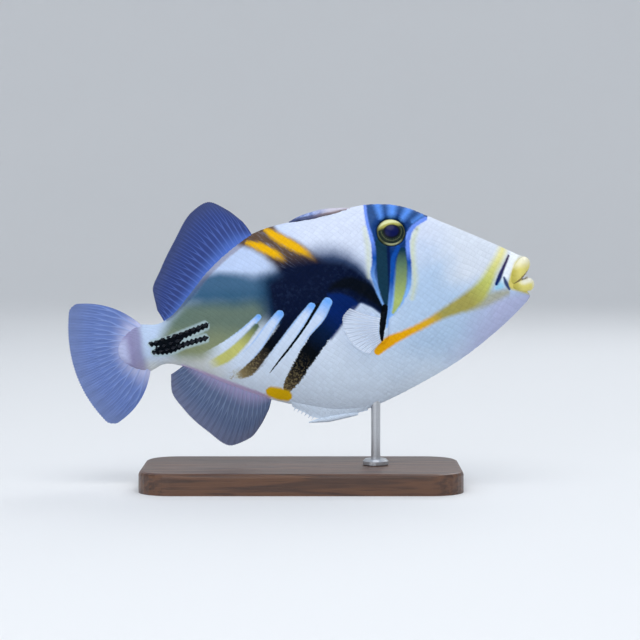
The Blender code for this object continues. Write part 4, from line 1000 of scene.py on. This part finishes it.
def makeCaudalFin(finish):
    fan = fins["caudal"]
    apex = np.array(fan["apex"])

    def fanPoint(spread, radius):
        half = fan["halfFan"] + fan["rootFlare"] * (1 - radius / fan["radius"])
        turn = np.radians(spread * half - fan["droop"])
        return np.stack([apex[0] - radius * np.cos(turn), apex[1] + radius * np.sin(turn)], -1)

    def curve(u):
        spread = 2 * u - 1
        end = bodyPoint(np.full_like(u, fan["tailEnd"]), 0.93 * spread)
        root = np.stack([end[..., 0] + 1.8, end[..., 2]], -1)
        fade = np.maximum(0, np.abs(spread) - 0.86) / 0.14
        tip = fanPoint(spread, fan["radius"] + fan["corner"] * spread ** 2 - fan["rounded"] * fade ** 2)
        knee = fanPoint(spread, np.full_like(u, blend(fan["rootRadius"], fan["radius"], 0.45)))
        edge = np.abs(spread)[..., None] ** 3
        side = np.stack([root[..., 1] - tip[..., 1], tip[..., 0] - root[..., 0]], -1)
        bulge = np.where(spread < 0, -fan["bulge"][0], fan["bulge"][1])[..., None]
        return root, blend(knee, (root + tip) / 2 - unit(side) * bulge, edge), tip

    def bend(x, z, t):
        return fan["sway"] * t * np.sin(t * 2.2) + 0.9 * t * np.sin(z / 9.0)

    finSheet("caudalFin", fan, curve, bend, finish, "caudal_fin")


def makePectoralFins(finish, skin):
    fin = fins["pectoral"]
    (x0, z0), (x1, z1) = fin["base"]

    def curve(u):
        lean = np.radians(blend(*fin["fan"], u))
        length = follow(fin["lengths"], u)
        root = np.stack([np.full_like(u, 0.8), blend(0.42, -0.42, u) * (z0 - z1)], -1)
        tip = np.stack([-length * np.cos(lean), root[..., 1] + length * np.sin(lean)], -1)
        knee = np.stack([tip[..., 0] * 0.5, blend(root[..., 1], tip[..., 1], 0.44)], -1)
        return root, knee, tip

    def bend(x, z, t):
        return -fin["cup"] * np.sin(t * np.pi * 0.8)

    for side, label in bothSides:
        out = skinNormal(*fin["middle"], side)
        back = np.array([-1, 0, 0.05])
        back = unit(back - out * back.dot(out))
        splay = math.radians(fin["splay"])
        reach = back * math.cos(splay) + out * math.sin(splay)
        lean = unit(np.array([(x0 - x1) * 0.9, 0, z0 - z1]))
        lean = unit(lean - reach * lean.dot(reach))
        place = np.eye(4)
        place[:3, 0], place[:3, 1], place[:3, 2] = -reach, np.cross(reach, lean) * side, lean
        place[:3, 3] = skinPoint(*fin["middle"], side) + out * 0.75 + back * 0.3
        finSheet("pectoralFin_" + label, fin, curve, bend, finish, "pectoral_fin_" + label,
                 place)
        makePectoralPad(label, side, skin)


def makePectoralPad(label, side, finish):  # the fleshy root that the fin grows from
    pad = fins["pectoral"]["pad"]
    (x0, z0), (x1, z1) = fins["pectoral"]["base"]
    along, across = pad["grid"]
    turn = fullTurn(across)
    rings = []
    for k in range(along + 1):
        r = k / along * pad["reach"]
        x = (x0 + x1) / 2 + r * (pad["wide"] * np.cos(turn) + (x0 - x1) * 0.5 * np.sin(turn))
        z = (z0 + z1) / 2 + r * (z0 - z1) * pad["high"] * np.sin(turn)
        sunk = pad["sunk"] * easeStep(0.8, pad["reach"], r)
        lift = pad["height"] * math.sqrt(1 - min(r, 1.0) ** 2) + pad["lift"] - sunk
        rings.append(skinPoint(x, z, side) + skinNormal(x, z, side) * lift)
    points = np.array(rings).reshape(-1, 3)
    faces = gridFaces(along + 1, across)[:, ::-side]
    piece("pectoralPad_" + label, points, faces.tolist(), finish, markingFields(points))


def finFinish(key):
    fin, look = fins[key], fins[key]["look"]
    f = Finish(key + "Fin", Coat_Roughness=0.25, Specular_IOR_Level=0.2)
    phase, t, _ = f.parts("ray")
    ridge = rayMask(f, phase, t, fin["forks"])
    cloud = f.noise(3.0, 3.0)
    streak = f.noise(1.0, 2.0, f.vector(phase * 5.0, t * 5.0, 0.0))
    colour = f.mix(f.step(t + (streak - 0.5) * 0.2, 0.0, 0.36), look["root"], look["membrane"])
    colour = f.mix(f.step(t, 0.6, 1.0) * 0.8, colour, look["edge"])
    colour = f.mix(ridge * (0.2 + streak * 0.6) * f.step(t, 1.1, 0.3), colour, look["ray"])
    colour = f.shaded(colour, 0.82 + cloud * 0.2 + streak * 0.14)
    joints = f.step(f.calc("FRACT", t * 36.0 + phase * 0.13), 0.84, 1.0) * ridge
    height = ridge * 0.6 - joints * 0.6 + streak * 0.3 + f.noise(0.5, 2.0) * 0.25
    clear = f.step(t, 0.0, 0.3) * f.step(ridge, 0.75, 0.15) * (1.0 - fin["opacity"])
    return f.give(Base_Color=colour, Roughness=0.42 + cloud * 0.16, Alpha=1.0 - clear,
                  Normal=f.bump(height, 0.12), Coat_Weight=0.08 - joints * 0.05)


def clearFinish():
    look = fins["pectoral"]["look"]
    f = Finish("clearFin", Specular_IOR_Level=0.2, Coat_Roughness=0.2)
    phase, t, ridge = f.parts("ray")
    cloud = f.noise(2.0, 3.0)
    alpha = 0.4 + ridge * 0.2 + f.step(t, 0.3, 0.0) * 0.3 + cloud * 0.06
    joints = f.step(f.calc("FRACT", t * 20.0 + phase * 0.17), 0.85, 1.0) * ridge
    return f.give(Base_Color=f.mix(ridge, look["membrane"], look["ray"]), Alpha=f.calc("MINIMUM", alpha, 1.0),
                  Normal=f.bump(ridge - joints * 0.6, 0.03), Roughness=0.32 + cloud * 0.12)


# First dorsal fin, folded in its groove. A spine's line is (x, z, radius), and it lies aside from the middle.

foldedSpines = {
    "spines": [
        {"aside": 0.0, "line": [(98.5, 41.9, 0.8), (96.0, 42.4, 1.15), (92, 42.9, 1.3), (86, 43.5, 1.3),
                                (80, 43.2, 1.15), (75, 42.6, 0.85), (71, 41.8, 0.3)]},
        {"aside": -0.9, "line": [(93, 42.4, 0.9), (87, 42.7, 0.85), (81, 42.2, 0.7), (76, 42.1, 0.35)]},
        {"aside": 0.8, "line": [(84, 42.2, 0.7), (79, 41.9, 0.6), (74, 41.9, 0.3)]},
    ],
    "grid": (110, 28), "granules": 0.07,
    "look": dyes({"blue": (96, 122, 186), "lilac": (160, 178, 226), "front": (196, 192, 208),
                  "rearShade": (24, 38, 92), "frontShade": (122, 100, 96)}),
}


def spineFinish():
    look = foldedSpines["look"]
    f = Finish("foldedSpine", Roughness=0.45, Coat_Roughness=0.2)
    x, _, z = f.parts("spot")
    cloud, granule = f.noise(2.2, 3.0), f.noise(0.35, 2.0)
    colour = f.mix(f.step(cloud, 0.35, 0.7), look["blue"], look["lilac"])
    colour = f.mix(f.step(x + cloud * 3.0, 82.0, 92.0), colour, look["front"])
    shade = f.mix(f.step(x + cloud * 4.0, 80.0, 90.0), look["rearShade"], look["frontShade"])
    colour = f.mix(f.step(z - 43.1 + (cloud - 0.5) * 0.8, 0.5, -0.5) * 0.85, colour, shade)
    return f.give(Base_Color=colour, Roughness=0.4 + granule * 0.2, Normal=f.bump(granule, 0.12),
                  Coat_Weight=0.2 + cloud * 0.1)


def makeFoldedFin(finish):
    rings, sides = foldedSpines["grid"]
    turn = np.tile(fullTurn(sides, 0.5), rings)
    row = np.repeat(np.arange(rings), sides)
    granules = foldedSpines["granules"] * np.sin(row * 1.37 + turn * 5) * np.sin(row * 0.61 + turn * 3)
    shapes = []
    for spine in foldedSpines["spines"]:
        _, (x, z, radius) = smoothLine(spine["line"], rings)
        centres = np.stack([x, np.full_like(x, spine["aside"]), z], -1)
        points, faces = sweptTube(centres, radius, radius, sides)
        out = unit(points - np.repeat(centres, sides, 0))
        shapes.append((points + out * granules[:, None], faces))
    points, faces = joined(shapes)
    piece("foldedFirstDorsal", points, faces, finish, None, ("first_dorsal_fin",))


# Tail spines, in rows on each side: the rear and front end of a row, how many it has, and the longest one.
# From root to point a spine goes from the first to the second height, place ahead and width.

tailSpines = {
    "rows": [((3.6, 2.3), (28.4, 5.7), 10, 2.9), ((6.2, 0.1), (15.4, 1.2), 4, 2.5),
             ((4.6, -1.9), (27.2, 0.3), 9, 2.8)],
    "height": (-0.6, 1.08), "ahead": (-0.12, 0.74), "width": (0.34, 0.03), "rising": 12.0,
    "grid": (12, 14), "seed": 7, "look": dyes({"black": (2, 8, 20), "sheen": (12, 20, 34)}),
}


def blackFinish():
    f = Finish("blackSpine", Coat_Roughness=0.2, Specular_IOR_Level=0.25)
    cloud = f.noise(0.8, 2.0)
    return f.give(Base_Color=f.mix(cloud, *tailSpines["look"].values()),
                  Roughness=0.22 + cloud * 0.15, Coat_Weight=0.12 + cloud * 0.1, Normal=f.bump(cloud, 0.05))


def tailSpine(x, z, side, length):  # rooted in the skin, its point turned towards the head
    rings, sides = tailSpines["grid"]
    out, surface = skinNormal(x, z, side), skinPoint(x, z, side)
    rising = math.radians(tailSpines["rising"])
    ahead = np.array([math.cos(rising), 0, math.sin(rising)])
    ahead = unit(ahead - out * ahead.dot(out))
    across = np.cross(out, ahead)
    turn = fullTurn(sides)
    points = []
    for t in np.arange(rings + 1) / rings:
        lift = blend(*tailSpines["height"], t ** 0.62)
        shift = blend(*tailSpines["ahead"], t ** 1.5)
        wide = blend(*tailSpines["width"], t ** 0.85)
        points.append(surface + ahead * (length * (shift + wide * 1.25 * np.cos(turn)))[:, None]
                      + across * (length * wide * np.sin(turn))[:, None] + out * lift)
    return np.array(points).reshape(-1, 3), tubeFaces(rings + 1, sides)


def makeTailSpines(finish):
    draw = np.random.default_rng(tailSpines["seed"])
    shapes = []
    for side in (-1, 1):
        for rear, front, count, longest in tailSpines["rows"]:
            for share in np.arange(count) / (count - 1):
                x, z = blend(rear[0], front[0], share), blend(rear[1], front[1], share)
                length = longest * blend(0.78, 1.0, share) * draw.uniform(0.92, 1.06)
                shapes.append(tailSpine(x, z + draw.uniform(-0.15, 0.15), side, length))
    points, faces = joined(shapes)
    piece("tailSpines", points, faces, finish)


# Pelvic flap, with its spine and the thorns on its rear edge

flap = {
    "front": 89.5, "rear": 58.0, "grid": (150, 22), "half": (1.3, 0.28), "ribs": 16, "ribHeight": 0.14,
    "edge": [(58.0, -35.6), (62.0, -38.6), (66.0, -41.6), (72.0, -43.6), (80.0, -43.6), (89.5, -43.0)],
    "spine": [(85.0, -43.6, 0.6), (80.0, -43.4, 1.1), (73.0, -43.6, 1.2), (67.5, -43.4, 0.8),
              (63.6, -43.4, 0.25)],
    "spineGrid": (90, 24), "thorns": 6, "thornSpan": (59.2, 66.0), "thornGrid": (8, 12),
}


def makeFlap(finish):
    columns, rows = flap["grid"]
    u, t = crossed(np.linspace(0, 1, columns), np.linspace(0, 1, rows))
    x = blend(flap["rear"], flap["front"], u)
    keel = follow(body["belly"], x)
    rib = 0.5 + 0.5 * np.cos(2 * np.pi * (u * flap["ribs"] + t * 0.8))
    half = blend(*flap["half"], easeStep(0.0, 1.0, t)) + flap["ribHeight"] * rib * easeStep(0.1, 0.5, t)
    low = np.minimum(follow(flap["edge"], x), keel - 0.6)
    z = blend(keel + 1.2, low, t) + 0.18 * rib * easeStep(0.9, 1, t)
    sheet = np.concatenate([np.stack([x, way * half, z], -1).reshape(-1, 3) for way in (1, -1)])
    shapes = [(sheet, sheetFaces(columns, rows))]

    rings, sides = flap["spineGrid"]
    _, (x, z, radius) = smoothLine(flap["spine"], rings)
    spine, faces = sweptTube(np.stack([x, np.zeros_like(x), z], -1), radius, radius * 0.8, sides)
    spine[:, 1] *= 1 + 0.07 * np.sin(np.repeat(np.arange(rings), sides) * 0.9)
    shapes.append((spine, faces))

    rings, sides = flap["thornGrid"]
    wide = np.linspace(0.42, 0.1, rings)
    for x in np.linspace(*flap["thornSpan"], flap["thorns"]):
        z = float(follow(flap["edge"], x))
        line = np.linspace([x + 0.7, 0, z + 0.9], [x - 0.9, 0, z - 0.75], rings)
        shapes.append(sweptTube(line, wide, wide, sides))
    points, faces = joined(shapes)
    piece("pelvicFlap", points, faces, finish, markingFields(points), ("pelvic_flap",))


# Lips and teeth. A lip's line is half of it, from the corner to the middle: x, y, z, half height, half depth.

lips = {
    "lines": {
        "upper": [(158.9, 4.4, -0.9, 1.0, 1.1), (160.6, 4.8, 0.9, 2.1, 1.6), (163.0, 4.3, 3.7, 3.0, 2.2),
                  (165.1, 2.5, 5.7, 3.15, 2.6), (165.9, 0.0, 6.4, 3.0, 2.7)],
        "lower": [(158.7, 4.4, -1.9, 1.0, 0.9), (160.8, 4.9, -2.1, 1.8, 1.2), (163.3, 4.2, -2.4, 2.4, 1.7),
                  (165.5, 2.2, -2.6, 2.7, 2.3), (166.3, 0.0, -2.65, 2.8, 2.5)],
    },
    "grid": (60, 56), "creases": 60.0, "creaseDepth": 0.028, "taper": 0.1,
    # pale is painted highlight on the lips' fronts and tops; inside is their brownish pink flesh, darkened as
    # painted shade under the upper lip
    "look": dyes({"yellow": (230, 218, 118), "corner": (196, 184, 80), "pale": (238, 236, 216),
                  "inside": (104, 70, 60)}),
}


def lipFinish():
    look = lips["look"]
    f = Finish("lip", Coat_Roughness=0.15, Specular_IOR_Level=0.3)
    around, along, isUpper = f.parts("roll")
    x, _, z = f.parts("spot")
    cloud, fine = f.noise(2.4, 2.0) - 0.5, f.noise(0.4, 2.0)
    colour = f.mix(f.step(x + cloud * 2.0, 163.5, 160.0), look["yellow"], look["corner"])
    # The lips' fronts and the tops of both lips are painted pale: painted highlight where the light falls.
    pale = f.most(f.step(x + cloud * 1.2, 166.8, 168.9) * 0.9, f.step(z + cloud * 2.0, 4.0, 8.2) * 0.8,
                  f.step(z + cloud, -3.0, -1.0) * f.step(x + cloud, 161.0, 164.5) * (1.0 - isUpper))
    colour = f.mix(pale, colour, look["pale"])
    # The lips' inner sides are painted brownish pink, much darker under the upper lip: the flesh's colour
    # with painted shade.
    inside = f.step(around + cloud * 0.3 + isUpper * 0.42, 0.4, 0.8)
    colour = f.mix(inside * (0.3 + isUpper * 0.55), colour, look["inside"])
    wrinkle = f.noise(1.0, 2.0, f.vector(along * 26.0, around * 1.5, 0.0))
    return f.give(Base_Color=colour, Roughness=0.34 + fine * 0.2, Coat_Weight=0.16 - cloud * 0.1,
                  Normal=f.bump(wrinkle + fine * 0.4, 0.25))


def makeLips(finish):
    stations, sides = lips["grid"]
    turn = fullTurn(sides, 0.5)
    for key, half in lips["lines"].items():
        fine, (x, y, z, high, deep) = smoothLine(half, stations)
        line = np.stack([x, y, z], -1)
        whole = np.concatenate([line * (1, -1, 1), line[-2::-1]])
        along, high, deep = (np.concatenate([w, w[-2::-1]]) for w in (fine, high, deep))
        taper = np.sqrt(np.clip(1 - (1 - np.clip(along / lips["taper"], 0, 1)) ** 2, 0.02, 1))
        ahead = unit(np.gradient(whole, axis=0))
        out = unit(np.cross(ahead, (0, 0, 1.0)))
        up = np.cross(out, ahead)
        wave = np.sin(along * lips["creases"])[:, None]
        crease = 1 + lips["creaseDepth"] * wave * np.clip(np.sin(turn), 0, 1)
        rise = np.cos(turn) * (high * taper)[:, None] * crease
        reach = np.sin(turn) * (deep * taper)[:, None] * crease
        ring = whole[:, None] + up[:, None] * rise[..., None] + out[:, None] * reach[..., None]
        points, faces = joined([(ring.reshape(-1, 3), tubeFaces(len(whole), sides))])
        isUpper = float(key == "upper")
        around = np.tile(np.cos(turn) * (0.8 - 1.6 * isUpper) - np.sin(turn) * 0.5, len(whole))
        roll = np.stack([around, np.repeat(along, sides), np.full(len(points), isUpper)], -1)
        piece(key + "Lip", points, faces, finish, {"roll": roll}, (key + "_lip",))


# A jaw: 1 for the upper, the middle root's x and z, how much lower each next root is, and the longest
teeth = {
    "jaws": [(1, 165.6, 4.2, 0.35, 2.5), (-1, 165.9, -1.3, 0.0, 2.0)], "perSide": 3, "half": 0.56,
    "firstAside": 0.62, "apart": 1.2, "setBack": 0.45, "grid": (14, 16),
    "look": dyes({"ivory": (244, 240, 228), "shade": (216, 206, 184)}),
}


def toothFinish():
    f = Finish("tooth", Roughness=0.25)
    cloud = f.noise(0.7, 3.0)
    return f.give(Base_Color=f.mix(cloud, *teeth["look"].values()),
                  Roughness=0.2 + cloud * 0.15, Coat_Weight=0.3 + cloud * 0.1, Normal=f.bump(cloud, 0.05))


def makeTeeth(finish):
    rings, sides = teeth["grid"]
    t = np.linspace(0, 1, rings)
    wide = teeth["half"] * np.sqrt(1 - (np.clip(t - 0.55, 0, 1) / 0.47) ** 2)
    shapes = []
    for up, front, height, drop, longest in teeth["jaws"]:
        for side in (-1, 1):
            for k in range(teeth["perSide"]):
                x, z = front - teeth["setBack"] * k * k, height - drop * k
                y = side * (teeth["firstAside"] + teeth["apart"] * k)
                root = np.array([x - 0.2, y, z])
                tip = np.array([x + 0.5, y * 0.94, z - up * (longest - 0.3 * k)])
                shapes.append(sweptTube(blend(root, tip, t[:, None]), wide * 0.7 + 0.02, wide + 0.02, sides))
    points, faces = joined(shapes)
    piece("teeth", points, faces, finish)


# Stand

standLook = dyes({"wood": (70, 44, 30), "woodLight": (98, 64, 42), "pore": (42, 26, 18),
                  "steel": (176, 178, 182), "steelLight": (208, 210, 214)})


def woodFinish():
    look = standLook
    f = Finish("stainedWood", Roughness=0.4, Coat_Roughness=0.2)
    warp = f.noise(1.0, 4.0, f.stretched((9.0, 120.0, 120.0)))
    pores = f.noise(1.0, 3.0, f.stretched((60.0, 1500.0, 1500.0)))
    rings = f.calc("SINE", warp * 42.0) * 0.5 + 0.5
    colour = f.mix(rings, look["wood"], look["woodLight"])
    colour = f.mix(f.step(pores, 0.56, 0.72) * 0.6, colour, look["pore"])
    return f.give(Base_Color=colour, Roughness=0.36 + pores * 0.2, Coat_Weight=0.3 - rings * 0.1,
                  Normal=f.bump(rings * 0.3 - pores, 0.12))


def steelFinish():
    f = Finish("brushedSteel", Metallic=1.0, Roughness=0.3)
    brush = f.noise(1.0, 3.0, f.stretched((400.0, 400.0, 9000.0)))
    return f.give(Base_Color=f.mix(brush, standLook["steel"], standLook["steelLight"]),
                  Roughness=0.24 + brush * 0.16, Normal=f.bump(brush, 0.03))


def dressStand():
    for node, finish in (("stand_base", woodFinish()), ("stand_rod", steelFinish())):
        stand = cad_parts[node]
        stand.data.materials.clear()
        stand.data.materials.append(finish)


# Room, light and camera. The pale floor is a round dish, in metres, as (radius, height).

room = {"distance": 0.9, "elevation": 3.0, "pixel": 0.4255, "frameWidth": 640, "caudalBase": (143, 350),
        "sensor": 36.0, "sky": 0.75, "skyColour": (0.90, 0.94, 1.0, 1), "floorSides": 96,
        "flat": [(0.4, 0.0), (1.0, 0.0), (1.8, 0.0)], "rim": (2.8, 2.2),
        "look": dyes({"pale": (226, 228, 230), "paler": (234, 235, 236)})}

# Each lamp: its place, size, power and colour. All are aimed at the fish.
lamps = {
    "topLight": ((0.0, -0.5, 1.1), 1.0, 6.5, (0.97, 0.98, 1.0)),
    "frontFill": ((-0.7, -1.5, 0.5), 1.2, 4.0, (0.93, 0.96, 1.0)),
    "backRim": ((0.4, 0.9, 0.9), 0.8, 3.0, (0.95, 0.97, 1.0)),
}
lampTarget = (0, 0, 0.07)


def makeRoom():
    f = Finish("paleFloor", Roughness=0.8)
    soft = f.number("TexNoise", None, {"Scale": 6.0, "Detail": 2.0})
    f.give(Base_Color=f.mix(soft, *room["look"].values()))
    bend = [(1.8 + math.sin(a), 1.0 - math.cos(a)) for a in np.linspace(0.1, math.pi / 2, 16)]
    profile, sides = [*room["flat"], *bend, room["rim"]], room["floorSides"]
    turn = fullTurn(sides)
    rings = [np.stack([r * np.cos(turn), r * np.sin(turn), np.full(sides, h)], -1) for r, h in profile]
    faces = gridFaces(len(profile), sides)[:, ::-1].tolist() + [list(range(sides))]
    placed("floor", smoothMesh("floor", np.concatenate(rings), faces, f.material))

    world = bpy.data.worlds.new("studio")
    world.use_nodes = True
    background = world.node_tree.nodes["Background"]
    background.inputs[0].default_value = room["skyColour"]
    background.inputs[1].default_value = room["sky"]
    bpy.context.scene.world = world
    bpy.context.scene.view_settings.view_transform = "Standard"

    for name, (place, size, power, colour) in lamps.items():
        light = bpy.data.lights.new(name, "AREA")
        light.shape, light.size, light.energy, light.color = "DISK", size, power, colour
        lamp = placed(name, light)
        lamp.location = place
        lamp.rotation_euler = (Vector(lampTarget) - Vector(place)).to_track_quat("-Z", "Y").to_euler()


def makeCamera():
    pixel = room["pixel"] * 0.001
    middle = room["frameWidth"] / 2
    caudalX, caudalY = room["caudalBase"]
    root = toWorld([0, 0, 0])
    target = Vector((root[0] + pixel * (middle - caudalX), 0, root[2] + pixel * (caudalY - middle)))
    data = bpy.data.cameras.new("camera")
    data.sensor_width = room["sensor"]
    data.lens = room["sensor"] * room["distance"] / (pixel * room["frameWidth"])
    data.clip_start = 0.01
    camera = placed("camera", data)
    lift = math.radians(room["elevation"])
    camera.location = target + Vector((0, -math.cos(lift), math.sin(lift))) * room["distance"]
    camera.rotation_euler = (target - camera.location).to_track_quat("-Z", "Y").to_euler()
    bpy.context.scene.camera = camera


skin = skinFinish()
makeSkin(skin)
makeEyeRims(skin)
print("skin done")
makeEyes(eyeFinish())
makeLips(lipFinish())
makeTeeth(toothFinish())
print("face done")
for key in ("dorsal", "anal"):
    makeMedianFin(key, finFinish(key))
makeCaudalFin(finFinish("caudal"))
makePectoralFins(clearFinish(), skin)
makeFoldedFin(spineFinish())
makeTailSpines(blackFinish())
makeFlap(skin)
print("fins done")
dressStand()
makeRoom()
makeCamera()
print("stand, room and camera done")
